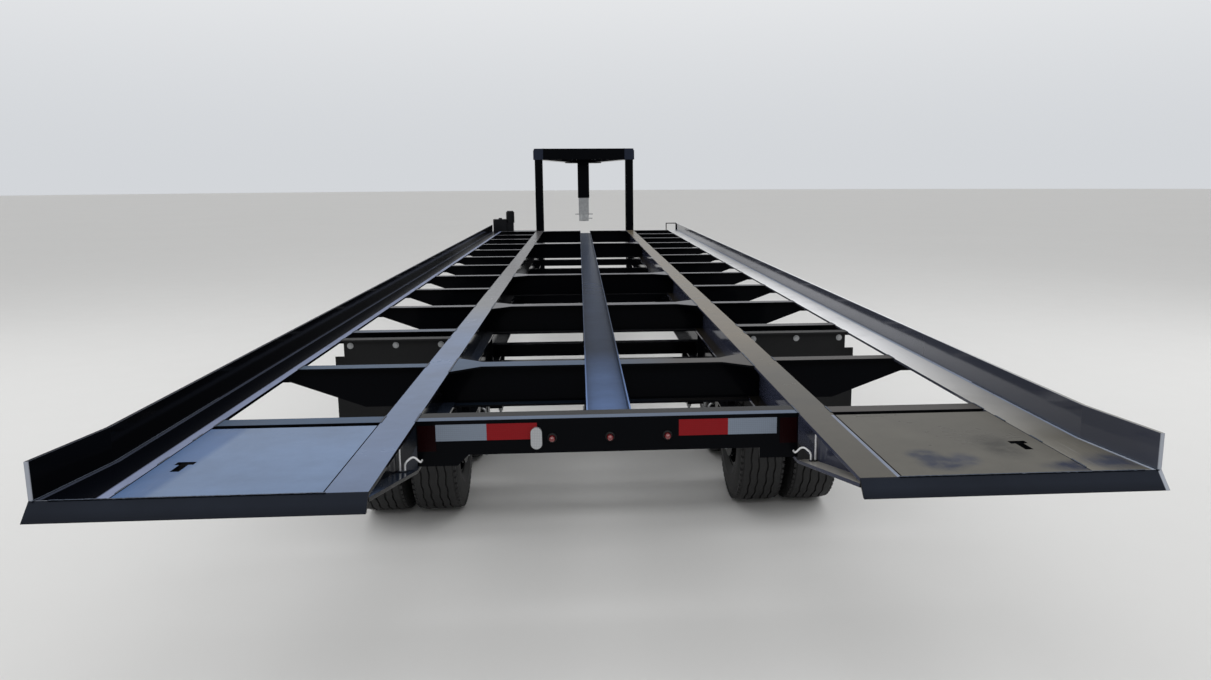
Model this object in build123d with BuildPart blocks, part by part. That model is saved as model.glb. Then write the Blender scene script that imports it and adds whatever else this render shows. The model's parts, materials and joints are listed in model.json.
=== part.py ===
"""Deckover tilt trailer with a gooseneck, a tilting bed and tandem dual wheels.

Millimetres. X to the right, Y towards the gooseneck, Z up, the ground at Z = 0.
Stations are written as distances ahead of the rear bumper's face, and y_at() places them.
"""
import os
from math import atan, atan2, cos, degrees, hypot, radians, sin, tan

from build123d import *

os.makedirs("parts", exist_ok=True)

SIDES = (("left", -1), ("right", 1))

# Bed: overall sizes
deck_top = 990.0
module = 858.0
module_count = 12
tail_length = 628.0
approach_drop = 40.0
rail_outer_x = 1295.5

# Bed: main beams, an I section of about 6 by 4 inches
bed_beam_x = 630.0
bed_beam_depth = 160.0
bed_beam_width = 102.0
bed_beam_flange = 10.3
bed_beam_web = 6.6
tail_tip_depth = 24.0

# Bed: side rails, an angle
rail_width = 135.0
rail_height = 101.6
rail_thickness = 9.5
flare_length = 290.0
flare_out = 38.0

# Bed: cross pieces
crossmember_modules = (1, 3, 5, 9, 12)
crossmember_width = 90.0
crossmember_flange = 8.0
crossmember_web = 8.0
gusset_along = 90.0
gusset_across = 110.0
gusset_thickness = 8.0
outrigger_flange_width = 70.0
outrigger_flange = 6.0
outrigger_web = 6.0
outrigger_full_reach = 242.0
outrigger_tip_depth = 57.0
outrigger_tip_length = 85.0

# Bed: centre trough
trough_width = 140.0
trough_height = 38.0
trough_thickness = 5.0

# Bed: rear platforms and approach strips
plate_thickness = 9.5
plate_seam = 3.0
plate_front_gap = 35.0
plate_rib_depth = 50.0
plate_rib_width = 60.0
plate_rib_inset = 60.0
plate_second_rib = 240.0
slot_x = 1095.0
slot_behind = 395.0
slot_length = 80.0
slot_across = 47.0
slot_narrow = 22.0
slot_wide = 24.0
strip_thickness = 9.5

# Bed: rear bumper and lamps
bumper_top_width = 95.0
bumper_face_depth = 107.0
bumper_thickness = 8.0
tab_width = 119.0
tab_depth = 140.0
tab_chamfer = 33.0
lamp_width = 54.0
lamp_height = 80.0
lamp_depth = 26.0
lamp_top_gap = 14.0
lamp_side_gap = 3.0
marker_radius = 9.5
marker_length = 24.0
marker_spacing = 175.0
marker_below_deck = 60.0
plate_lamp_x = -222.0
plate_lamp_width = 34.0
plate_lamp_height = 67.0
plate_lamp_depth = 12.0
plate_lamp_below_deck = 58.0

# Bed: leads from a gland on each beam's tail to the tail lamp and up to the deck
gland_behind = 60.0
gland_side_gap = 1.0
gland_radius = 13.0
gland_height = 5.0
lead_radius = 3.0
lead_offset = 7.0

# Bed: mud flaps
flap_station = 1500.0
flap_inner_x = 690.0
flap_outer_x = 1198.0
flap_thickness = 9.5
flap_bottom = 450.0
flap_bar_width = 60.0
flap_bar_thickness = 8.0

# Chassis rails, an I section of about 8 by 4 inches
bed_gap = 6.0
chassis_depth = 206.0
chassis_width = 102.0
chassis_flange = 8.0
chassis_web = 6.2
chassis_tube = 76.0
chassis_tube_wall = 6.0
chassis_tube_stations = (1750.0, 2380.0, 2950.0, 4200.0, 5400.0, 6600.0, 7800.0, 9000.0, 10200.0)

# Pads on the chassis rails that the lowered bed rests on
rest_pad_stations = (3700.0, 5900.0, 8100.0, 10000.0)
rest_pad_length = 120.0
rest_pad_width = 80.0

# Tilt hinge, above the rear axle
hinge_station = 2050.0
hinge_below_bed = 90.0
hinge_pin_radius = 25.0
hinge_lug_radius = 40.0
hinge_lug_thickness = 20.0
hinge_lug_half_base = 90.0
hinge_side_gap = 6.0
hinge_plate = 12.0
hinge_cheek_radius = 45.0
hinge_bracket_front = 400.0
hinge_bracket_back = 500.0
hinge_bracket_tail_depth = 28.0
cheek_slope_length = 200.0
cheek_flat_length = 90.0
running_clearance = 0.05
tilt_limit = 20.0

# Tandem axles with dual wheels
tyre_radius = 391.0
tyre_width = 235.0
tyre_shoulder = 26.0
tyre_shoulder_drop = 42.0
tyre_shoulder_tuck = 2.0
tyre_wall = 14.0
tyre_tread = 24.0
tyre_bead = 20.0
rim_radius = 203.0
rim_width = 190.0
rim_lip = 6.0
rim_lip_height = 12.0
rim_wall = 8.0
disc_thickness = 10.0
disc_offset = 43.0
disc_root = 2.0
disc_flat = 20.0
hand_hole_radius = 18.0
hand_hole_circle = 166.0
hand_hole_count = 8
dual_inner_x = 815.0
dual_outer_x = 1085.0
axle_spacing = 889.0
axle_tube_radius = 63.5
axle_tube_inset = 7.0
spindle_radius = 35.0
spindle_short = 59.0
hub_radius = 106.0
hub_neck_radius = 60.0
hub_gap = 7.0
hub_end_gap = 5.0
hub_cap_length = 26.0
drum_radius = 160.0
drum_past_wheel = 20.0
brake_plate = 8.0
tie_plate = 12.0
tie_plate_half = 88.0
tie_plate_beside_spring = 20.0
tie_plate_bed = 2.0
seat_clearance = 0.3

# Springs
spring_width = 76.0
leaf_thickness = 11.0
leaf_count = 5
leaf_step = 62.0
spring_half_span = 329.0
spring_eye_radius = 24.0
spring_rise = 34.0
hanger_half_base = 60.0
hanger_thickness = 8.0
shackle_pin_radius = 12.0

# Hydraulic cylinder, nearly as far from the hinge at its base pin as at its rod pin
base_pin_station = 2450.0
base_pin_drop = 340.0
base_pin_tube = 1
rod_pin_module = 3
rod_pin_below_bed = 50.0
barrel_radius = 50.0
barrel_bore = 41.0
barrel_start = 30.0
barrel_length = 308.0
base_cap_length = 20.0
gland_length = 40.0
collar_radius = 56.0
collar_length = 30.0
port_inset = 25.0
port_radius = 13.0
port_height = 16.0
rod_radius = 25.0
piston_start = 60.0
piston_radius = 40.0
piston_length = 30.0
cylinder_pin_radius = 19.0
rod_pin_clearance = 2.5
cylinder_eye_radius = 38.0
cylinder_eye_width = 106.0
cylinder_lug = 12.0
cylinder_side_gap = 6.0
pin_overhang = 8.0

# Gooseneck
neck_gap = 12.0
upright_depth = 203.0
upright_width = 102.0
upright_flange = 10.0
upright_web = 7.0
neck_rise = 1130.0
neck_beam_width = 137.0
neck_beam_height = 152.0
neck_wall = 6.0
neck_reach = 2400.0
neck_plate = 10.0
neck_plate_back = 330.0
neck_end_block = 45.0
neck_chamfer = 28.0
neck_gusset = 220.0
neck_gusset_thickness = 10.0
cross_bar_height = 150.0
cross_bar_width = 76.0
sleeve_width = 186.0
sleeve_wall = 10.0
sleeve_length = 720.0
coupler_tube_wall = 9.0
coupler_drop = 260.0
coupler_overlap = 300.0
socket_radius = 80.0
socket_height = 120.0
ball_radius = 29.4
ball_clearance = 0.6
chain_eye_out = 34.0
chain_eye_radius = 32.0
chain_eye_hole = 16.0
chain_eye_plate = 14.0
latch_width = 60.0
latch_length = 70.0
latch_height = 54.0
latch_above_mouth = 20.0
latch_handle_radius = 8.0
latch_handle_reach = 110.0

# Jacks
jack_width = 89.0
jack_wall = 6.0
jack_top = 960.0
jack_bottom = 330.0
jack_foot = 230.0
jack_foot_thickness = 12.0
jack_foot_corner = 23.0
jack_shaft_radius = 12.5
jack_shaft_height = 905.0
jack_mount = 16.0
gear_depth = 46.0
gear_half = 50.0
crank_out = 70.0
crank_arm = 180.0
crank_grip = 120.0
crank_bend = 25.0
crank_radius = 10.0

# Power unit at the front left corner
shelf_thickness = 8.0
shelf_depth = 250.0
shelf_outer_x = 1290.0
shelf_lip = 40.0
unit_inset = 10.0
unit_forward = 30.0
unit_tank_length = 190.0
unit_tank_width = 150.0
unit_tank_height = 165.0
unit_motor_radius = 57.0
unit_motor_length = 150.0
unit_motor_cap_radius = 44.0
unit_motor_cap = 14.0
unit_block = 90.0
unit_block_forward = 20.0
unit_block_height = 115.0
unit_tank_corner = 12.0
filler_radius = 24.0
filler_height = 16.0

# Bracket at the front right corner
loop_width = 150.0
loop_height = 100.0
loop_bar = 12.0

# Places worked out from the sizes above
bed_bottom = deck_top - bed_beam_depth
bed_front = module_count * module + crossmember_width / 2
rail_inner_x = rail_outer_x - rail_width
beam_outer_x = bed_beam_x + bed_beam_width / 2
beam_inner_x = bed_beam_x - bed_beam_width / 2
beam_web_outer_x = bed_beam_x + bed_beam_web / 2
beam_web_inner_x = bed_beam_x - bed_beam_web / 2
chassis_top = bed_bottom - bed_gap
chassis_bottom = chassis_top - chassis_depth
chassis_web_inner_x = bed_beam_x - chassis_web / 2
hinge_height = bed_bottom - hinge_below_bed
rail_rear = hinge_station + hinge_bracket_front
upright_rear = bed_front + neck_gap
upright_front = upright_rear + upright_depth
neck_top = deck_top + neck_rise
neck_bottom = neck_top - neck_beam_height
coupler_station = upright_rear + neck_reach
neck_front = coupler_station + sleeve_width / 2
neck_front_x = (sleeve_width + neck_beam_width) / 2 + seat_clearance
coupler_tube_width = sleeve_width - 2 * (sleeve_wall + seat_clearance)
jack_leg_width = jack_width - 2 * (jack_wall + seat_clearance)
wheel_stations = (("rear", hinge_station), ("front", hinge_station + axle_spacing))
total_rear = -(tail_length + approach_drop)
bumper_y = -(neck_front + total_rear) / 2


def y_at(station):
    """Y of a distance ahead of the bumper's face."""
    return bumper_y + station


def facing_back(station):
    """Sketch plane across the trailer: X to the right, Z up, extruded forwards by a negative amount."""
    return Plane.XZ.offset(-y_at(station))


def save(piece, name):
    piece.part.label = name
    export_step(piece.part, f"parts/{name}.step")


def i_section(x, bottom, depth, width, flange, web):
    """An I section about x, standing on bottom."""
    with Locations((x, bottom + flange / 2), (x, bottom + depth - flange / 2)):
        Rectangle(width, flange)
    with Locations((x, bottom + depth / 2)):
        Rectangle(web, depth)


def box(x, y, z):
    """A box from three pairs of limits."""
    with Locations(((x[0] + x[1]) / 2, (y[0] + y[1]) / 2, (z[0] + z[1]) / 2)):
        Box(abs(x[1] - x[0]), abs(y[1] - y[0]), abs(z[1] - z[0]))


def tube(start, stop, radius, mode=Mode.ADD):
    """A round bar between two points."""
    axis = Vector(*stop) - Vector(*start)
    with BuildSketch(Plane(origin=start, z_dir=axis)) as section:
        Circle(radius)
    extrude(section.sketch, amount=axis.length, mode=mode)


def bent_bar(points, radius, bend=None):
    """A round bar along straight runs, with the widest bends that its runs allow unless one is given."""
    stops = [Vector(*point) for point in points]
    runs = [after - before for before, after in zip(stops, stops[1:])]
    turns = [radians(first.get_angle(second)) for first, second in zip(runs, runs[1:])]
    bends = [bend or 0.45 * min(first.length, second.length) / tan(turn / 2)
             for first, second, turn in zip(runs, runs[1:], turns)]
    with BuildLine() as route:
        FilletPolyline(*stops, radius=bends)
    with BuildSketch(Plane(origin=stops[0], z_dir=runs[0])) as section:
        Circle(radius)
    sweep(section.sketch, path=route.line)
    print("bends of a bar", radius, [round(bend, 1) for bend in bends])


# Bed main beams, with the tail's bottom flange rising to the tip and a hinge lug below
tail_slope = atan((bed_beam_depth - tail_tip_depth) / tail_length)
gland_x = beam_web_inner_x - gland_side_gap - gland_radius
gland_seat = bed_bottom + gland_behind * tan(tail_slope) + bed_beam_flange / 2
gland_top = gland_seat + bed_beam_flange / 2 + gland_height
for side, sign in SIDES:
    x = sign * bed_beam_x
    with BuildPart() as bed_beam:
        with BuildSketch(facing_back(0)):
            i_section(x, bed_bottom, bed_beam_depth, bed_beam_width, bed_beam_flange, bed_beam_web)
        extrude(amount=-bed_front)
        tip_y = y_at(-tail_length)
        tip_bottom = deck_top - tail_tip_depth
        with BuildSketch(Plane.YZ.offset(x - bed_beam_web / 2)):
            Polygon((y_at(0), deck_top), (tip_y, deck_top), (tip_y, tip_bottom), (y_at(0), bed_bottom),
                    align=None)
        extrude(amount=bed_beam_web)
        flange_rise = bed_beam_flange / cos(tail_slope)
        with BuildSketch(Plane.YZ.offset(x - bed_beam_width / 2)):
            Polygon((y_at(0), deck_top), (tip_y, deck_top), (tip_y, deck_top - bed_beam_flange),
                    (y_at(0), deck_top - bed_beam_flange), align=None)
            Polygon((y_at(0), bed_bottom), (y_at(0), bed_bottom + flange_rise),
                    (tip_y, tip_bottom + flange_rise), (tip_y, tip_bottom), align=None)
        extrude(amount=bed_beam_width)
        with BuildSketch(Plane.YZ.offset(x - hinge_lug_thickness / 2)):
            hinge_y = y_at(hinge_station)
            Polygon((hinge_y - hinge_lug_half_base, bed_bottom),
                    (hinge_y + hinge_lug_half_base, bed_bottom),
                    (hinge_y + hinge_lug_radius, hinge_height),
                    (hinge_y - hinge_lug_radius, hinge_height), align=None)
            with Locations((hinge_y, hinge_height)):
                Circle(hinge_lug_radius)
                Circle(hinge_pin_radius + running_clearance, mode=Mode.SUBTRACT)
        extrude(amount=hinge_lug_thickness)
        tube((sign * gland_x, y_at(-gland_behind), gland_seat),
             (sign * gland_x, y_at(-gland_behind), gland_top), gland_radius)
    save(bed_beam, f"bed_beam_{side}")

# Bed centre crossmembers, notched for the trough, each with four flat corner gussets
lug_inner = cylinder_eye_width / 2 + cylinder_side_gap
rod_pin_station = rod_pin_module * module
rod_pin_height = bed_bottom - rod_pin_below_bed
for number, index in enumerate(crossmember_modules, start=1):
    station = index * module
    y = y_at(station)
    half = crossmember_width / 2
    with BuildPart() as crossmember:
        with BuildSketch(facing_back(station - half)):
            with Locations((0, deck_top - crossmember_flange / 2)):
                Rectangle(2 * beam_inner_x, crossmember_flange)
            with Locations((0, bed_bottom + crossmember_flange / 2)):
                Rectangle(2 * beam_inner_x, crossmember_flange)
        extrude(amount=-crossmember_width)
        with BuildSketch(facing_back(station - crossmember_web / 2)):
            with Locations((0, deck_top - bed_beam_depth / 2)):
                Rectangle(2 * beam_web_inner_x, bed_beam_depth - 2 * bed_beam_flange)
                Rectangle(2 * beam_inner_x, bed_beam_depth)
        extrude(amount=-crossmember_web)
        with BuildSketch(Plane.XY.offset(deck_top)):
            for sx in (-1, 1):
                for sy in (-1, 1):
                    if index == module_count and sy > 0:
                        continue
                    edge = y + sy * half
                    Polygon((sx * beam_inner_x, edge), (sx * beam_inner_x, edge + sy * gusset_along),
                            (sx * (beam_inner_x - gusset_across), edge), align=None)
        extrude(amount=-gusset_thickness)
        with BuildSketch(facing_back(station - half)):
            with Locations((0, deck_top - trough_height / 2)):
                Rectangle(trough_width, trough_height)
        extrude(amount=-crossmember_width, mode=Mode.SUBTRACT)
        if index == rod_pin_module:
            for sx in (-1, 1):
                start_x = lug_inner if sx > 0 else -lug_inner - cylinder_lug
                with BuildSketch(Plane.YZ.offset(start_x)):
                    Polygon((y - half, bed_bottom), (y + half, bed_bottom),
                            (y + cylinder_eye_radius, rod_pin_height),
                            (y - cylinder_eye_radius, rod_pin_height), align=None)
                    with Locations((y, rod_pin_height)):
                        Circle(cylinder_eye_radius)
                extrude(amount=cylinder_lug)
            reach = lug_inner + cylinder_lug
            tube((-reach, y, rod_pin_height), (reach, y, rod_pin_height), cylinder_pin_radius)
    save(crossmember, f"centre_crossmember_{number}")

# Bed outriggers, one at each module, with a sloping lower edge towards the side rail
rail_under = deck_top - rail_thickness
outrigger_end = rail_outer_x - rail_thickness
tip_start = outrigger_end - outrigger_tip_length
full_end = beam_outer_x + outrigger_full_reach
for side, sign in SIDES:
    with BuildPart() as outriggers:
        for index in range(module_count + 1):
            station = index * module
            if index == 0:
                station = outrigger_flange_width / 2
            with BuildSketch(facing_back(station - outrigger_web / 2)):
                outline = (
                    (beam_web_outer_x, deck_top - bed_beam_flange),
                    (beam_outer_x, deck_top - bed_beam_flange),
                    (beam_outer_x, deck_top), (rail_inner_x, deck_top), (rail_inner_x, rail_under),
                    (outrigger_end, rail_under), (outrigger_end, deck_top - outrigger_tip_depth),
                    (tip_start, deck_top - outrigger_tip_depth), (full_end, bed_bottom),
                    (beam_outer_x, bed_bottom), (beam_outer_x, bed_bottom + bed_beam_flange),
                    (beam_web_outer_x, bed_bottom + bed_beam_flange))
                Polygon(*[(sign * px, pz) for px, pz in outline], align=None)
            extrude(amount=-outrigger_web)
            y = y_at(station)
            half = outrigger_flange_width / 2
            box((sign * beam_outer_x, sign * rail_inner_x), (y - half, y + half),
                (deck_top - outrigger_flange, deck_top))
    save(outriggers, f"outriggers_{side}")

# Bed side rails, an angle whose upright leg turns outwards at the rear
for side, sign in SIDES:
    outer = sign * rail_outer_x
    inner = sign * rail_inner_x
    wall = sign * (rail_outer_x - rail_thickness)
    bend_y = y_at(-tail_length + flare_length)
    rear_y = y_at(-tail_length)
    flare = sign * flare_out
    with BuildPart() as side_rail:
        with BuildSketch(Plane.XY.offset(rail_under)):
            Polygon((inner, y_at(bed_front)), (outer, y_at(bed_front)), (outer, bend_y),
                    (outer + flare, rear_y), (inner, rear_y), align=None)
        extrude(amount=rail_thickness)
        with BuildSketch(Plane.XY.offset(rail_under)):
            Polygon((wall, y_at(bed_front)), (outer, y_at(bed_front)), (outer, bend_y),
                    (outer + flare, rear_y), (wall + flare, rear_y), (wall, bend_y), align=None)
        extrude(amount=rail_height)
    save(side_rail, f"side_rail_{side}")

# Bed rear platforms, a plate on two ribs with a keyed chain slot
plate_front = -plate_front_gap
for side, sign in SIDES:
    with BuildPart() as platform:
        x_in = sign * (beam_outer_x + plate_seam)
        x_out = sign * (rail_inner_x - plate_seam)
        box((x_in, x_out), (y_at(-tail_length), y_at(plate_front)), (deck_top - plate_thickness, deck_top))
        plate_under = deck_top - plate_thickness
        for back in (plate_rib_inset, plate_second_rib):
            y1 = y_at(plate_front - back)
            y0 = y1 - plate_rib_width
            box((sign * beam_outer_x, sign * outrigger_end), (y0, y1),
                (plate_under - plate_rib_depth, plate_under))
            box((sign * beam_web_outer_x, sign * beam_outer_x), (y0, y1),
                (plate_under - plate_rib_depth, deck_top - bed_beam_flange))
        slot_y = y_at(-slot_behind)
        with BuildSketch(Plane.XY.offset(plate_under)):
            with Locations((sign * slot_x, slot_y)):
                Rectangle(slot_narrow, slot_length)
            with Locations((sign * slot_x, slot_y + slot_length / 2 - slot_wide / 2)):
                Rectangle(slot_across, slot_wide)
        extrude(amount=plate_thickness, mode=Mode.SUBTRACT)
    save(platform, f"platform_{side}")

# Bed approach strips, sloping down behind the platforms and beam tails
with BuildPart() as approach_strips:
    for side, sign in SIDES:
        x_in = sign * beam_inner_x
        x_out = sign * (rail_outer_x + flare_out)
        start = min(x_in, x_out)
        back = y_at(-tail_length)
        with BuildSketch(Plane.YZ.offset(start)):
            Polygon((back, deck_top), (back - approach_drop, deck_top - approach_drop),
                    (back - approach_drop + strip_thickness, deck_top - approach_drop),
                    (back, deck_top - strip_thickness), align=None)
        extrude(amount=abs(x_out - x_in))
save(approach_strips, "approach_strips")

# Bed centre trough
with BuildPart() as centre_trough:
    with BuildSketch(facing_back(bumper_top_width)):
        with Locations((0, deck_top - trough_height / 2)):
            Rectangle(trough_width, trough_height)
        with Locations((0, deck_top - (trough_height - trough_thickness) / 2)):
            Rectangle(trough_width - 2 * trough_thickness, trough_height - trough_thickness,
                      mode=Mode.SUBTRACT)
    extrude(amount=-(bed_front - bumper_top_width))
save(centre_trough, "centre_trough")

# Bed rear bumper, a folded plate between the beams with two end tabs and pockets for its lamps
lamp_x = beam_inner_x - lamp_side_gap - lamp_width / 2
with BuildPart() as rear_bumper:
    box((-beam_inner_x, beam_inner_x), (y_at(0), y_at(bumper_top_width)),
        (deck_top - bumper_thickness, deck_top))
    with BuildSketch(facing_back(0)):
        top = deck_top
        Polygon((-beam_inner_x, top), (beam_inner_x, top), (beam_inner_x, top - tab_depth),
                (beam_inner_x - tab_width, top - tab_depth),
                (beam_inner_x - tab_width, top - bumper_face_depth),
                (-beam_inner_x + tab_width + tab_chamfer, top - bumper_face_depth),
                (-beam_inner_x + tab_width, top - tab_depth),
                (-beam_inner_x, top - tab_depth), align=None)
        with Locations((-lamp_x, top - lamp_top_gap - lamp_height / 2),
                       (lamp_x, top - lamp_top_gap - lamp_height / 2)):
            Rectangle(lamp_width, lamp_height, mode=Mode.SUBTRACT)
    extrude(amount=-bumper_thickness)
save(rear_bumper, "rear_bumper")

with BuildPart() as tail_lamps:
    with BuildSketch(facing_back(0)):
        with Locations((-lamp_x, deck_top - lamp_top_gap - lamp_height / 2),
                       (lamp_x, deck_top - lamp_top_gap - lamp_height / 2)):
            Rectangle(lamp_width, lamp_height)
    extrude(amount=-lamp_depth)
save(tail_lamps, "tail_lamps")

with BuildPart() as marker_lamps:
    for x in (-marker_spacing, 0, marker_spacing):
        z = deck_top - marker_below_deck
        dome = (x, y_at(marker_radius - marker_length), z)
        tube((x, y_at(0), z), dome, marker_radius)
        with Locations(dome):
            Sphere(marker_radius)
save(marker_lamps, "marker_lamps")

with BuildPart() as plate_lamp:
    with BuildSketch(facing_back(0)):
        with Locations((plate_lamp_x, deck_top - plate_lamp_below_deck)):
            SlotOverall(plate_lamp_height, plate_lamp_width, rotation=90)
    extrude(amount=plate_lamp_depth)
save(plate_lamp, "plate_lamp")

# Leads: each row is sideways from the gland, ahead of the gland and above its top
lower_lead = ((-lead_offset, 0, 0), (-lead_offset, 0, 22), (-29, 18, 39), (-47, gland_behind - 26, 12),
              (-47, gland_behind, 12))
with BuildPart() as lamp_leads:
    for side, sign in SIDES:
        start = (sign * gland_x, y_at(-gland_behind), gland_top)
        tube((start[0] + sign * lead_offset, start[1], gland_top),
             (start[0] + sign * lead_offset, start[1], deck_top - bed_beam_flange), lead_radius)
        bent_bar([(start[0] + sign * across, start[1] + ahead, start[2] + above)
                  for across, ahead, above in lower_lead], lead_radius)
save(lamp_leads, "lamp_leads")

# Bed mud flaps, each hung from its own bar at deck level
for side, sign in SIDES:
    with BuildPart() as mud_flap:
        back = y_at(flap_station)
        half = flap_bar_width / 2
        box((sign * beam_outer_x, sign * rail_inner_x), (back - half, back + half),
            (deck_top - flap_bar_thickness, deck_top))
        box((sign * flap_inner_x, sign * (rail_inner_x - plate_seam)),
            (back - flap_thickness / 2, back + flap_thickness / 2),
            (deck_top - bed_beam_depth / 2, deck_top - flap_bar_thickness))
        box((sign * flap_inner_x, sign * flap_outer_x),
            (back - flap_thickness / 2, back + flap_thickness / 2),
            (flap_bottom, deck_top - bed_beam_depth / 2))
    save(mud_flap, f"mud_flap_{side}")

# Chassis rails under the bed beams
for side, sign in SIDES:
    with BuildPart() as chassis_rail:
        with BuildSketch(facing_back(rail_rear)):
            i_section(sign * bed_beam_x, chassis_bottom, chassis_depth, chassis_width, chassis_flange,
                      chassis_web)
        extrude(amount=-(upright_front - rail_rear))
    save(chassis_rail, f"chassis_rail_{side}")

# Pads between the chassis rails and the lowered bed
with BuildPart() as rest_pads:
    for side, sign in SIDES:
        for station in rest_pad_stations:
            x = sign * bed_beam_x
            y = y_at(station)
            box((x - rest_pad_width / 2, x + rest_pad_width / 2),
                (y - rest_pad_length / 2, y + rest_pad_length / 2), (chassis_top, bed_bottom))
save(rest_pads, "rest_pads")

# Chassis cross tubes
hinge_cheek_inner = hinge_lug_thickness / 2 + hinge_side_gap
cheek_reach = hinge_cheek_inner + hinge_plate
tube_bottom = chassis_bottom + chassis_flange
with BuildPart() as chassis_crossmembers:
    for station in chassis_tube_stations:
        reach = chassis_web_inner_x if station > rail_rear else bed_beam_x - cheek_reach
        with BuildSketch(Plane.YZ.offset(-reach)):
            with Locations((y_at(station), tube_bottom + chassis_tube / 2)):
                Rectangle(chassis_tube, chassis_tube)
                Rectangle(chassis_tube - 2 * chassis_tube_wall, chassis_tube - 2 * chassis_tube_wall,
                          mode=Mode.SUBTRACT)
        extrude(amount=2 * reach)
save(chassis_crossmembers, "chassis_crossmembers")

# Two lugs under one cross tube, and the pin in them that carries the cylinder's base
tube_y = y_at(chassis_tube_stations[base_pin_tube])
pin_y = y_at(base_pin_station)
base_pin_height = hinge_height - base_pin_drop
with BuildPart() as cylinder_lugs:
    for start_x in (lug_inner, -lug_inner - cylinder_lug):
        with BuildSketch(Plane.YZ.offset(start_x)):
            Polygon((tube_y - chassis_tube / 2, tube_bottom),
                    (pin_y - cylinder_eye_radius, base_pin_height),
                    (pin_y + cylinder_eye_radius, base_pin_height),
                    (tube_y + chassis_tube / 2, tube_bottom), align=None)
            with Locations((pin_y, base_pin_height)):
                Circle(cylinder_eye_radius)
                Circle(cylinder_pin_radius + running_clearance, mode=Mode.SUBTRACT)
        extrude(amount=cylinder_lug)
save(cylinder_lugs, "cylinder_lugs")

with BuildPart() as cylinder_base_pin:
    reach = lug_inner + cylinder_lug + pin_overhang
    tube((-reach, pin_y, base_pin_height), (reach, pin_y, base_pin_height), cylinder_pin_radius)
save(cylinder_base_pin, "cylinder_base_pin")

# Hinge brackets, two cheeks on a sole plate behind each chassis rail, with the hinge pin
for side, sign in SIDES:
    x = sign * bed_beam_x
    front_y = y_at(rail_rear)
    hinge_y = y_at(hinge_station)
    back_y = hinge_y - hinge_bracket_back
    cheek_top = hinge_height + hinge_cheek_radius
    with BuildPart() as hinge_bracket:
        for offset in (-cheek_reach, hinge_cheek_inner):
            with BuildSketch(Plane.YZ.offset(x + offset)):
                Polygon((front_y, chassis_bottom), (front_y, chassis_top),
                        (front_y - hinge_plate, chassis_top), (front_y - cheek_slope_length, cheek_top),
                        (hinge_y - cheek_flat_length, cheek_top),
                        (back_y, chassis_bottom + hinge_bracket_tail_depth), (back_y, chassis_bottom),
                        align=None)
            extrude(amount=hinge_plate)
        box((x - chassis_width / 2, x + chassis_width / 2), (back_y, front_y),
            (chassis_bottom, chassis_bottom + chassis_flange))
        box((x - chassis_width / 2, x + chassis_width / 2), (front_y - hinge_plate, front_y),
            (chassis_bottom, chassis_top))
        tube((x - cheek_reach, hinge_y, hinge_height), (x + cheek_reach, hinge_y, hinge_height),
             hinge_pin_radius)
    save(hinge_bracket, f"hinge_bracket_{side}")

# Neck uprights on the chassis rails' front ends, each with a gusset under its neck beam
for side, sign in SIDES:
    x = sign * bed_beam_x
    with BuildPart() as neck_upright:
        with BuildSketch(Plane.XY.offset(chassis_top)):
            for near in (upright_rear + upright_flange / 2, upright_front - upright_flange / 2):
                with Locations((x, y_at(near))):
                    Rectangle(upright_width, upright_flange)
            with Locations((x, y_at(upright_rear + upright_depth / 2))):
                Rectangle(upright_web, upright_depth)
        extrude(amount=neck_bottom - chassis_top)
        front_y = y_at(upright_front)
        with BuildSketch(Plane.YZ.offset(x - neck_gusset_thickness / 2)):
            Polygon((front_y, neck_bottom), (front_y + neck_gusset, neck_bottom),
                    (front_y, neck_bottom - neck_gusset), align=None)
        extrude(amount=neck_gusset_thickness)
    save(neck_upright, f"neck_upright_{side}")

# Neck beams, box tubes that converge on the coupler, each with a chamfered block in its rear end
converge = atan2(bed_beam_x - neck_front_x, neck_front - upright_rear)
for side, sign in SIDES:
    rear_x = sign * bed_beam_x
    front_x = sign * neck_front_x
    with BuildPart() as neck_beam:
        for wall, rear_end, how in ((0, 0, Mode.ADD), (neck_wall, neck_end_block, Mode.SUBTRACT)):
            half = neck_beam_width / 2 - wall
            low = neck_bottom + wall
            high = neck_top - wall
            rear = y_at(upright_rear + rear_end)
            front = y_at(neck_front)
            with BuildSketch(Plane.XY.offset(low)):
                Polygon((rear_x - half, rear), (rear_x + half, rear), (front_x + half, front),
                        (front_x - half, front), align=None)
            extrude(amount=high - low, mode=how)
        corner_x = rear_x + sign * neck_beam_width / 2
        with BuildSketch(facing_back(upright_rear)):
            Polygon((corner_x, neck_top), (corner_x - sign * neck_chamfer, neck_top),
                    (corner_x, neck_top - neck_chamfer), align=None)
        extrude(amount=neck_wall - neck_end_block, mode=Mode.SUBTRACT)
    save(neck_beam, f"neck_beam_{side}")

# Neck top bar between the beams' rear ends
with BuildPart() as neck_cross_bar:
    inner = bed_beam_x - neck_beam_width / 2
    taper = cross_bar_width * tan(converge)
    with BuildSketch(Plane.XY.offset(neck_top - cross_bar_height)):
        rear = y_at(upright_rear)
        Polygon((-inner, rear), (inner, rear), (inner - taper, rear + cross_bar_width),
                (-inner + taper, rear + cross_bar_width), align=None)
    extrude(amount=cross_bar_height)
    with BuildSketch(Plane.XY.offset(neck_top - cross_bar_height)):
        rear = y_at(upright_rear) + neck_wall
        Polygon((-inner, rear), (inner, rear), (inner, rear + cross_bar_width),
                (-inner, rear + cross_bar_width), align=None)
    extrude(amount=cross_bar_height - neck_wall, mode=Mode.SUBTRACT)
save(neck_cross_bar, "neck_cross_bar")

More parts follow.
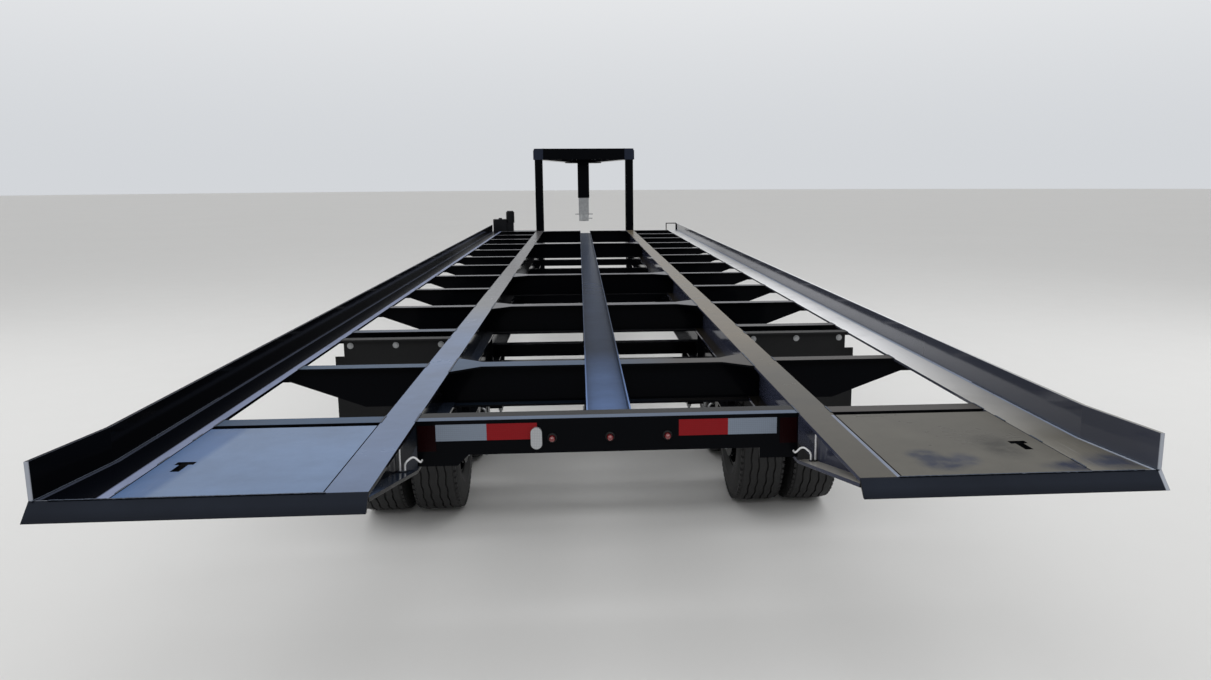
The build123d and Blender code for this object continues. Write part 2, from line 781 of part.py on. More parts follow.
# Coupler sleeve between the beams' front ends
sleeve_bottom = neck_top - sleeve_length
with BuildPart() as coupler_sleeve:
    y = y_at(coupler_station)
    with BuildSketch(Plane.XY.offset(sleeve_bottom)):
        with Locations((0, y)):
            Rectangle(sleeve_width, sleeve_width)
            Rectangle(sleeve_width - 2 * sleeve_wall, sleeve_width - 2 * sleeve_wall, mode=Mode.SUBTRACT)
    extrude(amount=sleeve_length)
    for low in (neck_bottom - neck_plate, neck_top):
        front = y_at(neck_front)
        back = front - neck_plate_back
        half_front = neck_front_x + neck_beam_width / 2
        half_back = half_front + neck_plate_back * tan(converge)
        with BuildSketch(Plane.XY.offset(low)):
            Polygon((-half_front, front), (half_front, front), (half_back, back), (-half_back, back),
                    align=None)
            if low < neck_top:
                with Locations((0, y)):
                    Rectangle(sleeve_width, sleeve_width, mode=Mode.SUBTRACT)
        extrude(amount=neck_plate)
save(coupler_sleeve, "coupler_sleeve")

# Coupler tube with the ball socket at its lower end, two chain eyes and the latch
coupler_bottom = sleeve_bottom - coupler_drop - socket_height
with BuildPart() as coupler:
    with BuildSketch(Plane.XY.offset(sleeve_bottom - coupler_drop)):
        with Locations((0, y)):
            Rectangle(coupler_tube_width, coupler_tube_width)
            coupler_bore = coupler_tube_width - 2 * coupler_tube_wall
            Rectangle(coupler_bore, coupler_bore, mode=Mode.SUBTRACT)
    extrude(amount=coupler_drop + coupler_overlap)
    with BuildSketch(Plane.XY.offset(coupler_bottom)):
        with Locations((0, y)):
            Circle(socket_radius)
    extrude(amount=socket_height)
    with BuildSketch(Plane.XY.offset(coupler_bottom + socket_height)):
        with Locations((0, y)):
            eye_x = coupler_tube_width / 2 + chain_eye_out
            SlotCenterToCenter(2 * eye_x, 2 * chain_eye_radius)
        with Locations((-eye_x, y), (eye_x, y)):
            Circle(chain_eye_hole, mode=Mode.SUBTRACT)
    extrude(amount=-chain_eye_plate)
    latch_y = y - socket_radius - latch_length
    latch_low = coupler_bottom + latch_above_mouth
    box((-latch_width / 2, latch_width / 2), (latch_y, y - socket_radius / 2),
        (latch_low, latch_low + latch_height))
    handle_y = latch_y + latch_length / 2
    handle_z = latch_low + latch_height / 2
    tube((0, handle_y, handle_z), (latch_width / 2 + latch_handle_reach, handle_y, handle_z),
         latch_handle_radius)
    ball_room = ball_radius + ball_clearance
    with BuildSketch(Plane.XY.offset(coupler_bottom)):
        with Locations((0, y)):
            Circle(ball_room)
    extrude(amount=socket_height / 2, mode=Mode.SUBTRACT)
    with Locations((0, y, coupler_bottom + socket_height / 2)):
        Sphere(ball_room, mode=Mode.SUBTRACT)
save(coupler, "coupler")

# Jacks in front of the chassis rails, each with a gear case on its inner side
jack_station = upright_front + jack_mount + jack_width / 2
with BuildPart() as jack_tubes:
    for side, sign in SIDES:
        x = sign * bed_beam_x
        y = y_at(jack_station)
        with BuildSketch(Plane.XY.offset(jack_bottom)):
            with Locations((x, y)):
                Rectangle(jack_width, jack_width)
                Rectangle(jack_width - 2 * jack_wall, jack_width - 2 * jack_wall, mode=Mode.SUBTRACT)
        extrude(amount=jack_top - jack_bottom)
        half = jack_width / 2
        box((x - half, x + half), (y - half, y + half), (jack_top - jack_wall, jack_top))
        box((x - chassis_width / 2, x + chassis_width / 2), (y_at(upright_front), y - half),
            (chassis_bottom, chassis_top))
        box((x - sign * half, x - sign * (half + gear_depth)), (y - gear_half, y + gear_half),
            (jack_shaft_height - gear_half, jack_shaft_height + gear_half))
save(jack_tubes, "jack_tubes")

with BuildPart() as jack_legs:
    for side, sign in SIDES:
        x = sign * bed_beam_x
        y = y_at(jack_station)
        with BuildSketch(Plane.XY.offset(jack_foot_thickness)):
            with Locations((x, y)):
                Rectangle(jack_leg_width, jack_leg_width)
        extrude(amount=jack_bottom + jack_width - jack_foot_thickness)
        with BuildSketch(Plane.XY):
            with Locations((x, y)):
                RectangleRounded(jack_foot, jack_foot, jack_foot_corner)
        extrude(amount=jack_foot_thickness)
save(jack_legs, "jack_legs")

# Jack shaft between the gear cases, and the crank on the right jack's outer side
with BuildPart() as jack_shaft:
    y = y_at(jack_station)
    reach = bed_beam_x - jack_width / 2 - gear_depth
    tube((-reach, y, jack_shaft_height), (reach, y, jack_shaft_height), jack_shaft_radius)
    crank_x = bed_beam_x + jack_width / 2
    grip_z = jack_shaft_height - crank_arm
    bent_bar([(crank_x, y, jack_shaft_height), (crank_x + crank_out, y, jack_shaft_height),
              (crank_x + crank_out, y, grip_z), (crank_x + crank_out + crank_grip, y, grip_z)],
             crank_radius, crank_bend)
save(jack_shaft, "jack_shaft")

# Axles with spindles, brake plates, spring seats and the tie plates below them
spindle_end = dual_outer_x - spindle_short
tube_end = dual_inner_x - tyre_width / 2 + axle_tube_inset
for place, station in wheel_stations:
    y = y_at(station)
    z = tyre_radius
    with BuildPart() as axle:
        tube((-tube_end, y, z), (tube_end, y, z), axle_tube_radius)
        tube((-spindle_end, y, z), (spindle_end, y, z), spindle_radius)
        for sx in (-1, 1):
            tube((sx * tube_end, y, z), (sx * (tube_end - brake_plate), y, z), drum_radius)
            x = sx * bed_beam_x
            pad_top = z + axle_tube_radius + leaf_thickness
            box((x - spring_width / 2, x + spring_width / 2), (y - axle_tube_radius, y + axle_tube_radius),
                (z + axle_tube_radius / 2, pad_top))
            plate_half = spring_width / 2 + tie_plate_beside_spring
            box((x - plate_half, x + plate_half), (y - tie_plate_half, y + tie_plate_half),
                (z - axle_tube_radius - tie_plate, z - axle_tube_radius + tie_plate_bed))
    save(axle, f"axle_{place}")

# Leaf springs, each a stack of curved leaves on the axle's seat with an eye at both ends
seat_top = tyre_radius + axle_tube_radius + leaf_thickness
with BuildPart() as leaf_springs:
    for side, sign in SIDES:
        start_x = sign * bed_beam_x - spring_width / 2
        for place, station in wheel_stations:
            y = y_at(station)
            for leaf in range(leaf_count):
                half_span = spring_half_span - (leaf_count - 1 - leaf) * leaf_step
                low = seat_top + leaf * leaf_thickness
                rise = spring_rise * (half_span / spring_half_span) ** 2
                tip = low + rise
                tip_top = tip + leaf_thickness
                with BuildSketch(Plane.YZ.offset(start_x)):
                    with BuildLine():
                        ThreePointArc((y - half_span, tip), (y, low), (y + half_span, tip))
                        Line((y + half_span, tip), (y + half_span, tip_top))
                        ThreePointArc((y + half_span, tip_top), (y, low + leaf_thickness),
                                      (y - half_span, tip_top))
                        Line((y - half_span, tip_top), (y - half_span, tip))
                    make_face()
                extrude(amount=spring_width)
            eye_z = seat_top + (leaf_count - 1) * leaf_thickness + spring_rise + spring_eye_radius / 2
            for sy in (-1, 1):
                with BuildSketch(Plane.YZ.offset(start_x)):
                    with Locations((y + sy * spring_half_span, eye_z)):
                        Circle(spring_eye_radius)
                extrude(amount=spring_width)
                with BuildSketch(Plane.YZ.offset(start_x)):
                    with Locations((y + sy * spring_half_span, eye_z)):
                        Circle(shackle_pin_radius + seat_clearance)
                extrude(amount=spring_width, mode=Mode.SUBTRACT)
save(leaf_springs, "leaf_springs")

# Spring hangers, a pair of cheeks at each outer eye and a block for the equaliser between the axles
mid_station = hinge_station + axle_spacing / 2
cheek_offset = spring_width / 2 + seat_clearance
with BuildPart() as spring_hangers:
    for side, sign in SIDES:
        x = sign * bed_beam_x
        for station in (wheel_stations[0][1] - spring_half_span, wheel_stations[1][1] + spring_half_span):
            y = y_at(station)
            for start_x in (x - cheek_offset - hanger_thickness, x + cheek_offset):
                with BuildSketch(Plane.YZ.offset(start_x)):
                    Polygon((y - hanger_half_base, chassis_bottom), (y + hanger_half_base, chassis_bottom),
                            (y + spring_eye_radius, eye_z), (y - spring_eye_radius, eye_z), align=None)
                    with Locations((y, eye_z)):
                        Circle(spring_eye_radius)
                extrude(amount=hanger_thickness)
            reach = cheek_offset + hanger_thickness
            tube((x - reach, y, eye_z), (x + reach, y, eye_z), shackle_pin_radius)
        y = y_at(mid_station)
        with BuildSketch(Plane.YZ.offset(x - spring_width / 2)):
            Polygon((y - hanger_half_base, chassis_bottom), (y + hanger_half_base, chassis_bottom),
                    (y + spring_eye_radius, eye_z), (y - spring_eye_radius, eye_z), align=None)
            with Locations((y, eye_z)):
                Circle(spring_eye_radius)
        extrude(amount=spring_width)
        reach = cheek_offset + hanger_thickness
        tube((x - reach, y, eye_z), (x + reach, y, eye_z), shackle_pin_radius)
save(spring_hangers, "spring_hangers")

# Equalisers, two side plates on the block's pin with a pin at each end for the springs' inner eyes
inner_eye = axle_spacing / 2 - spring_half_span
with BuildPart() as equalisers:
    for side, sign in SIDES:
        x = sign * bed_beam_x
        y = y_at(mid_station)
        for start_x in (x - cheek_offset - hanger_thickness, x + cheek_offset):
            with BuildSketch(Plane.YZ.offset(start_x)):
                with Locations((y, eye_z)):
                    SlotCenterToCenter(2 * inner_eye, 2 * spring_eye_radius)
                    Circle(shackle_pin_radius + seat_clearance, mode=Mode.SUBTRACT)
            extrude(amount=hanger_thickness)
        for sy in (-1, 1):
            reach = cheek_offset + hanger_thickness
            tube((x - reach, y + sy * inner_eye, eye_z), (x + reach, y + sy * inner_eye, eye_z),
                 shackle_pin_radius)
save(equalisers, "equalisers")

# Wheels: two tyres, and two rims with hand holes in their discs on one hub
for place, station in wheel_stations:
    for side, sign in SIDES:
        y = y_at(station)
        axle_line = Axis((0, y, tyre_radius), (1, 0, 0))
        centres = [sign * dual_inner_x, sign * dual_outer_x]
        with BuildPart() as tyres:
            for x in centres:
                with BuildSketch(Plane.XY.offset(tyre_radius)):
                    bead = rim_width / 2 - rim_lip - seat_clearance
                    bore = rim_radius + seat_clearance
                    lip = rim_radius + rim_lip_height + 2 * seat_clearance
                    half = tyre_width / 2
                    tread = tyre_width / 2 - tyre_shoulder
                    belly = (bore + tyre_radius) / 2
                    shoulder = tyre_radius - tyre_shoulder_drop
                    right_half = ((bead, bore), (bead, lip), (half, belly),
                                  (half - tyre_shoulder_tuck, shoulder), (tread, tyre_radius))
                    inside = ((tread - tyre_wall, tyre_radius - tyre_tread), (half - tyre_wall, belly),
                              (bead - tyre_bead, bore))
                    ring = [(px, pz) for px, pz in right_half]
                    ring += [(-px, pz) for px, pz in reversed(right_half)]
                    ring += [(-px, pz) for px, pz in reversed(inside)]
                    ring += [(px, pz) for px, pz in inside]
                    Polygon(*[(x + px, y + pz) for px, pz in ring], align=None)
                revolve(axis=axle_line)
        save(tyres, f"tyres_{place}_{side}")

        face = sign * (dual_inner_x + dual_outer_x) / 2
        with BuildPart() as rims:
            for x, toward in ((centres[0], sign), (centres[1], -sign)):
                half = rim_width / 2
                lip = rim_radius + rim_lip_height
                well = rim_radius - rim_wall
                disc_x = x + toward * disc_offset
                disc_top = y + well + disc_root
                with BuildSketch(Plane.XY.offset(tyre_radius)):
                    Polygon((x - half, y + lip), (x - half + rim_lip, y + lip),
                            (x - half + rim_lip, y + rim_radius), (x + half - rim_lip, y + rim_radius),
                            (x + half - rim_lip, y + lip), (x + half, y + lip), (x + half, y + well),
                            (x - half, y + well), align=None)
                    Polygon((disc_x, disc_top), (disc_x - toward * disc_thickness, disc_top),
                            (face - toward * disc_thickness, y + hub_radius + disc_flat),
                            (face - toward * disc_thickness, y + hub_neck_radius),
                            (face, y + hub_neck_radius),
                            (face, y + hub_radius + disc_flat + disc_thickness), align=None)
                revolve(axis=axle_line)
            hub_in = sign * (tube_end + hub_gap)
            hub_out = sign * (spindle_end + hub_end_gap)
            drum_out = sign * (dual_inner_x + drum_past_wheel)
            with BuildSketch(Plane.XY.offset(tyre_radius)):
                Polygon((hub_in, y + spindle_radius + running_clearance), (hub_in, y + drum_radius),
                        (drum_out, y + drum_radius), (drum_out, y + hub_radius), (face, y + hub_radius),
                        (face, y + hub_neck_radius), (hub_out, y + hub_neck_radius),
                        (hub_out, y + spindle_radius + running_clearance), align=None)
            revolve(axis=axle_line)
            cap_end = hub_out + sign * hub_cap_length
            tube((hub_out, y, tyre_radius), (cap_end, y, tyre_radius), hub_neck_radius)
            with BuildSketch(Plane.YZ.offset(drum_out + sign * hub_gap)):
                with Locations((y, tyre_radius)):
                    with PolarLocations(hand_hole_circle, hand_hole_count):
                        Circle(hand_hole_radius)
            extrude(amount=centres[1] - drum_out, mode=Mode.SUBTRACT)
        save(rims, f"rims_{place}_{side}")

# Hydraulic cylinder: barrel with its collar and two ports pinned to the chassis, rod pinned under the bed
base_y = y_at(base_pin_station)
rod_y = y_at(rod_pin_station)
cylinder_span = hypot(rod_y - base_y, rod_pin_height - base_pin_height)
cylinder_rise = atan2(rod_pin_height - base_pin_height, rod_y - base_y)


def along(distance):
    """A point on the cylinder's line, measured from the base pin."""
    return (0, base_y + distance * cos(cylinder_rise), base_pin_height + distance * sin(cylinder_rise))


with BuildPart() as cylinder_barrel:
    barrel_end = barrel_start + barrel_length
    bore_start = barrel_start + base_cap_length
    tube(along(barrel_start), along(barrel_end), barrel_radius)
    tube(along(barrel_end - collar_length), along(barrel_end), collar_radius)
    for distance in (bore_start + port_inset, barrel_end - gland_length - port_inset):
        foot = along(distance)
        reach = barrel_radius + port_height
        tip = (0, foot[1] + reach * sin(cylinder_rise), foot[2] - reach * cos(cylinder_rise))
        tube(foot, tip, port_radius)
    with BuildSketch(Plane.YZ.offset(-cylinder_eye_width / 2)):
        with Locations((base_y, base_pin_height)):
            Circle(cylinder_eye_radius)
    extrude(amount=cylinder_eye_width)
    with BuildSketch(Plane.YZ.offset(-cylinder_eye_width / 2)):
        with Locations((base_y, base_pin_height)):
            Circle(cylinder_pin_radius + running_clearance)
    extrude(amount=cylinder_eye_width, mode=Mode.SUBTRACT)
    tube(along(bore_start), along(barrel_end - gland_length), barrel_bore, mode=Mode.SUBTRACT)
    tube(along(bore_start), along(barrel_end), rod_radius + running_clearance, mode=Mode.SUBTRACT)
save(cylinder_barrel, "cylinder_barrel")

with BuildPart() as cylinder_rod:
    tube(along(piston_start), along(cylinder_span - cylinder_pin_radius), rod_radius)
    tube(along(piston_start), along(piston_start + piston_length), piston_radius)
    with BuildSketch(Plane.YZ.offset(-cylinder_eye_width / 2)):
        with Locations((rod_y, rod_pin_height)):
            Circle(cylinder_eye_radius)
    extrude(amount=cylinder_eye_width)
    with BuildSketch(Plane.YZ.offset(-cylinder_eye_width / 2)):
        with Locations((rod_y, rod_pin_height)):
            Circle(cylinder_pin_radius + rod_pin_clearance)
    extrude(amount=cylinder_eye_width, mode=Mode.SUBTRACT)
save(cylinder_rod, "cylinder_rod")

# Power unit on its shelf at the front left
shelf_y = (y_at(upright_rear), y_at(upright_rear + shelf_depth))
with BuildPart() as power_unit_shelf:
    inner = -(bed_beam_x + upright_width / 2)
    box((-shelf_outer_x, inner), shelf_y, (deck_top - shelf_thickness, deck_top))
    with BuildSketch(facing_back(upright_rear)):
        Polygon((inner, deck_top), (-shelf_outer_x, deck_top), (-shelf_outer_x, deck_top - shelf_lip),
                (inner, chassis_top), align=None)
    extrude(amount=-shelf_thickness)
save(power_unit_shelf, "power_unit_shelf")

with BuildPart() as power_unit:
    tank_x = -shelf_outer_x + unit_inset + unit_tank_length / 2
    tank_y = shelf_y[0] + unit_forward + unit_tank_width / 2
    with BuildSketch(Plane.XY.offset(deck_top)):
        with Locations((tank_x, tank_y)):
            RectangleRounded(unit_tank_length, unit_tank_width, unit_tank_corner)
    extrude(amount=unit_tank_height)
    filler_base = deck_top + unit_tank_height
    tube((tank_x, tank_y, filler_base), (tank_x, tank_y, filler_base + filler_height), filler_radius)
    block_x = tank_x + unit_tank_length / 2
    block_y = shelf_y[0] + unit_forward + unit_block_forward
    motor = (block_x + unit_block / 2, block_y + unit_block / 2)
    motor_base = deck_top + unit_block_height
    box((block_x, block_x + unit_block), (block_y, block_y + unit_block), (deck_top, motor_base))
    motor_end = motor_base + unit_motor_length
    tube((*motor, motor_base), (*motor, motor_end), unit_motor_radius)
    tube((*motor, motor_end), (*motor, motor_end + unit_motor_cap), unit_motor_cap_radius)
save(power_unit, "power_unit")

# Loop bracket at the front right of the bed
with BuildPart() as front_loop:
    x1 = rail_outer_x - rail_thickness
    x0 = x1 - loop_width
    with BuildSketch(facing_back(bed_front - loop_bar)):
        with Locations(((x0 + x1) / 2, deck_top + loop_height / 2)):
            Rectangle(loop_width, loop_height)
        with Locations(((x0 + x1) / 2, deck_top + (loop_height - loop_bar) / 2)):
            Rectangle(loop_width - 2 * loop_bar, loop_height - loop_bar, mode=Mode.SUBTRACT)
    extrude(amount=-loop_bar)
save(front_loop, "front_loop")

# Printed for the record: the hinge, the pins, the travel of the cylinder and the axle stations
tilt = radians(tilt_limit)
pin_ahead = rod_pin_station - hinge_station
pin_above = rod_pin_height - hinge_height
raised = (pin_ahead * cos(tilt) - pin_above * sin(tilt), pin_ahead * sin(tilt) + pin_above * cos(tilt))
base_ahead = base_pin_station - hinge_station
raised_span = hypot(raised[0] - base_ahead, raised[1] + base_pin_drop)
raised_angle = atan2(raised[1] + base_pin_drop, raised[0] - base_ahead)
print("hinge", y_at(hinge_station), hinge_height)
print("base pin", base_y, base_pin_height, "rod pin", rod_y, rod_pin_height)
print("cylinder", degrees(cylinder_rise), cylinder_span, raised_span, degrees(raised_angle))
barrel_ratio = (raised_angle - cylinder_rise) / tilt
rod_ratio = (raised_span - cylinder_span) / tilt
print("barrel ratio", barrel_ratio, "rod ratio", rod_ratio)
print("axles", [y_at(station) for place, station in wheel_stations], tyre_radius)
print("coupler", y_at(coupler_station), coupler_bottom, "front", y_at(neck_front), "rear", y_at(total_rear))
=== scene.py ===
"""Looks of the tilt trailer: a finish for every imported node, and tyres, nuts, welds, bolts and tape."""

import json
from functools import partial
from math import cos, pi, radians, sin, tau

import bmesh
import bpy
from mathutils import Matrix, Vector


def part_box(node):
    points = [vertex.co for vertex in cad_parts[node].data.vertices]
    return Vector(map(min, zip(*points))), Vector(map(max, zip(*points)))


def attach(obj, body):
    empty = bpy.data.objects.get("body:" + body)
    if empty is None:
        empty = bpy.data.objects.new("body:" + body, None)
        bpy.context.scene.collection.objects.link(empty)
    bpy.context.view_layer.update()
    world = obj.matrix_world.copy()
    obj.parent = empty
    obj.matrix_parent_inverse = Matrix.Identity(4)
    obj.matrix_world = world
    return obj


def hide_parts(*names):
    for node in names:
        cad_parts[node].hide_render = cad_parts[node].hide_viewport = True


bl_info = {
    "name": "Tilt Trailer Finishes",
    "version": (1, 0, 0),
    "blender": (4, 5, 0),
    "location": "View3D > Sidebar > Trailer",
    "description": "Finishes and small parts of a deckover tilt trailer",
    "category": "Object",
}

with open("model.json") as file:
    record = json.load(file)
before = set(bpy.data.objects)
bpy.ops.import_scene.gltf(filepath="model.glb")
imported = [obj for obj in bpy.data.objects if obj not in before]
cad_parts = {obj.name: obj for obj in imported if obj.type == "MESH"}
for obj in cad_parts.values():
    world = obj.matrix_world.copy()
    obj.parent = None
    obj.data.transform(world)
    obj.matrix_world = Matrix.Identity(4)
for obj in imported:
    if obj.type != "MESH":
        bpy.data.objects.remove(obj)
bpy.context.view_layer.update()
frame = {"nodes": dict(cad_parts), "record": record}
MM = 0.001
BLACK = (0.0, 0.0, 0.0, 1.0)
SIDES = (("left", -1), ("right", 1))
WHEELS = tuple((place, side, sign) for place in ("rear", "front") for side, sign in SIDES)

# Places read from the frame
BUMPER_LOW, BUMPER_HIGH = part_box("rear_bumper")
DECK_TOP = BUMPER_HIGH.z
BUMPER_FACE = BUMPER_LOW.y
BUMPER_FRONT = BUMPER_HIGH.y
BEAM_INNER = BUMPER_HIGH.x
BEAM_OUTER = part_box("bed_beam_right")[1].x
BEAM_X = (BEAM_INNER + BEAM_OUTER) / 2
RAIL_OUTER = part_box("outriggers_right")[1].x
RAIL_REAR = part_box("side_rail_right")[0].y
PLATE_LOW, PLATE_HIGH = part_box("platform_right")
FLAP_LOW, FLAP_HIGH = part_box("mud_flap_right")
STRIP_LOW, STRIP_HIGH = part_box("approach_strips")

# Sizes of the bed that the frame doesn't name
MODULE = 858 * MM
MODULES = 12
OUTRIGGER_WIDTH = 70 * MM
RAIL_WIDTH = 135 * MM
RAIL_WALL = 9.5 * MM
RAIL_INNER = RAIL_OUTER + RAIL_WALL - RAIL_WIDTH
FLARE_LENGTH = 290 * MM
FLARE_OUT = 38 * MM


# Shared helpers

def srgb(colour):
    """A hex colour as linear red, green, blue and alpha."""
    levels = [int(colour[place:place + 2], 16) / 255 for place in (1, 3, 5)]
    return (*[v / 12.92 if v <= 0.04045 else ((v + 0.055) / 1.055) ** 2.4 for v in levels], 1.0)


def add_node(tree, kind, inputs=None, **settings):
    """Adds a node. Inputs holds values, sockets to link, or nodes whose first output is linked, and
    settings holds the node's own properties."""
    node = tree.nodes.new(kind)
    for name, value in settings.items():
        setattr(node, name, value)
    for name, value in (inputs or {}).items():
        if isinstance(value, bpy.types.Node):
            value = value.outputs[0]
        if isinstance(value, bpy.types.NodeSocket):
            tree.links.new(value, node.inputs[name])
        else:
            node.inputs[name].default_value = value
    return node


def new_material(name):
    """An empty material, the call that adds a node to it, and the object coordinates in metres that its
    patterns follow."""
    material = bpy.data.materials.new(name)
    material.use_nodes = True
    material.node_tree.nodes.clear()
    node = partial(add_node, material.node_tree)
    return material, node, node("ShaderNodeTexCoord").outputs["Object"]


def close_material(material, inputs):
    """Ends a material with a shader that has the given inputs, and returns it."""
    shader = add_node(material.node_tree, "ShaderNodeBsdfPrincipled", inputs)
    add_node(material.node_tree, "ShaderNodeOutputMaterial", {"Surface": shader})
    return material


def shade_smooth(mesh, angle):
    """Shades a mesh smooth over its edges under the given angle in degrees, or leaves it flat for None."""
    if angle is not None:
        mesh.shade_smooth()
        mesh.set_sharp_from_angle(angle=radians(angle))


def add_object(name, mesh, material=None):
    """Links a new object that holds the mesh."""
    piece = bpy.data.objects.new(name, mesh)
    bpy.context.scene.collection.objects.link(piece)
    if material is not None:
        mesh.materials.append(material)
    return piece


def mesh_from(name, build, smooth_angle=None):
    """A mesh filled by build(bm), with outward faces."""
    bm = bmesh.new()
    build(bm)
    bmesh.ops.recalc_face_normals(bm, faces=bm.faces)
    mesh = bpy.data.meshes.new(name)
    bm.to_mesh(mesh)
    bm.free()
    shade_smooth(mesh, smooth_angle)
    return mesh


def close_rings(bm, rings):
    """Faces from each closed ring of vertices to the next, and from the last to the first."""
    for here, there in zip(rings, rings[1:] + rings[:1]):
        for index in range(len(here)):
            follow = (index + 1) % len(here)
            bm.faces.new((here[index], here[follow], there[follow], there[index]))


def line_mesh(name, paths):
    """A mesh of open lines, one for each list of points."""
    edges = []
    first = 0
    for path in paths:
        edges += [(index, index + 1) for index in range(first, first + len(path) - 1)]
        first += len(path)
    mesh = bpy.data.meshes.new(name)
    mesh.from_pydata([point for path in paths for point in path], edges, [])
    return mesh


def axis_mesh(name, rows):
    """A mesh of lone points that keep a direction in the attribute axis; rows hold (point, direction)."""
    mesh = bpy.data.meshes.new(name)
    mesh.from_pydata([point for point, direction in rows], [], [])
    axis = mesh.attributes.new("axis", "FLOAT_VECTOR", "POINT")
    axis.data.foreach_set("vector", [level for point, direction in rows for level in direction])
    return mesh


def hand_over(piece, body):
    """Gives a finished piece its body."""
    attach(piece, body)


# Geometry Nodes

def new_geometry_tree(name, sockets):
    """A geometry tree with the named inputs, given as name and type, the call that adds a node to it,
    and the sockets it is given."""
    tree = bpy.data.node_groups.new(name, "GeometryNodeTree")
    for socket_name, kind in {"Geometry": "Geometry", **sockets, "Material": "Material"}.items():
        tree.interface.new_socket(socket_name, in_out="INPUT", socket_type=f"NodeSocket{kind}")
    tree.interface.new_socket("Geometry", in_out="OUTPUT", socket_type="NodeSocketGeometry")
    node = partial(add_node, tree)
    return tree, node, node("NodeGroupInput").outputs


def end_geometry_tree(tree, geometry, material):
    """Realizes the instances, sets the material, links the output and returns the tree."""
    real = add_node(tree, "GeometryNodeRealizeInstances", {"Geometry": geometry})
    painted = add_node(tree, "GeometryNodeSetMaterial", {"Geometry": real, "Material": material})
    add_node(tree, "NodeGroupOutput", {"Geometry": painted})
    return tree


def bake_tree(name, mesh, tree, values, smooth_angle=None):
    """Runs a geometry tree over a mesh and returns one plain mesh object."""
    carrier = add_object(name, mesh)
    modifier = carrier.modifiers.new(tree.name, "NODES")
    modifier.node_group = tree
    for item in tree.interface.items_tree:
        if item.in_out == "INPUT" and item.name in values:
            modifier[item.identifier] = values[item.name]
    graph = bpy.context.evaluated_depsgraph_get()
    made = bpy.data.meshes.new_from_object(carrier.evaluated_get(graph))
    carrier.modifiers.clear()
    carrier.data = made
    if not made.polygons:
        raise RuntimeError(f"{name} came out empty")
    shade_smooth(made, smooth_angle)
    return carrier


def weld_tree():
    """Weld beads along lines: overlapping ripples, one each pitch."""
    tree, node, given = new_geometry_tree("weld beads", {
        "Width": "Float", "Height": "Float", "Pitch": "Float", "Seed": "Int"})
    curve = node("GeometryNodeMeshToCurve", {"Mesh": given["Geometry"]})
    dots = node("GeometryNodeResampleCurve", {"Curve": curve, "Length": given["Pitch"]}, mode="LENGTH")
    tangent = node("GeometryNodeInputTangent")
    turn = node("FunctionNodeAlignRotationToVector", {"Vector": tangent}, axis="X")
    ripple = node("GeometryNodeMeshUVSphere", {"Segments": 8, "Rings": 5, "Radius": 1.0})
    long = node("ShaderNodeMath", {0: given["Pitch"], 1: 0.95}, operation="MULTIPLY")
    half = node("ShaderNodeMath", {0: given["Width"], 1: 0.5}, operation="MULTIPLY")
    uneven = node("FunctionNodeRandomValue", {
        "Min": (0.9, 0.85, 0.8), "Max": (1.1, 1.1, 1.15), "Seed": given["Seed"]}, data_type="FLOAT_VECTOR")
    size = node("ShaderNodeCombineXYZ", {"X": long, "Y": half, "Z": given["Height"]})
    scale = node("ShaderNodeVectorMath", {0: size, 1: uneven}, operation="MULTIPLY")
    laid = node("GeometryNodeInstanceOnPoints", {
        "Points": dots, "Instance": ripple, "Rotation": turn, "Scale": scale})
    return end_geometry_tree(tree, laid, given["Material"])


HEAD_SIZES = ("Across Flats", "Head Height", "Washer Radius", "Washer Height", "Stud Radius", "Stud Length")


def head_tree():
    """Hexagon heads with a washer and the end of a stud, on points that hold the direction in axis."""
    tree, node, given = new_geometry_tree("hexagon heads", {name: "Float" for name in HEAD_SIZES})
    corner = node("ShaderNodeMath", {0: given["Across Flats"], 1: 1 / (2 * cos(pi / 6))},
                  operation="MULTIPLY")
    parts = node("GeometryNodeJoinGeometry")
    for sides, radius, height in ((6, corner, given["Head Height"]),
                                  (20, given["Washer Radius"], given["Washer Height"]),
                                  (12, given["Stud Radius"], given["Stud Length"])):
        part = node("GeometryNodeMeshCylinder", {"Vertices": sides, "Radius": radius, "Depth": height})
        middle = node("ShaderNodeMath", {0: height, 1: 0.5}, operation="MULTIPLY")
        rise = node("ShaderNodeCombineXYZ", {"Z": middle})
        seated = node("GeometryNodeTransform", {"Geometry": part, "Translation": rise})
        tree.links.new(seated.outputs[0], parts.inputs[0])
    axis = node("GeometryNodeInputNamedAttribute", {"Name": "axis"}, data_type="FLOAT_VECTOR")
    turn = node("FunctionNodeAlignRotationToVector", {"Vector": axis}, axis="Z")
    placed = node("GeometryNodeInstanceOnPoints", {
        "Points": given["Geometry"], "Instance": parts, "Rotation": turn})
    return end_geometry_tree(tree, placed, given["Material"])


def bake_heads(name, body, tree, rows, across, sizes):
    """Zinc plated heads at rows of (point, direction). The width across the flats is in metres, and the
    other sizes follow it in the order of HEAD_SIZES, in millimetres."""
    values = dict(zip(HEAD_SIZES, [across] + [size * MM for size in sizes]))
    piece = bake_tree(name, axis_mesh(name, rows), tree, {
        **values, "Material": bpy.data.materials["zinc plate"]})
    hand_over(piece, body)


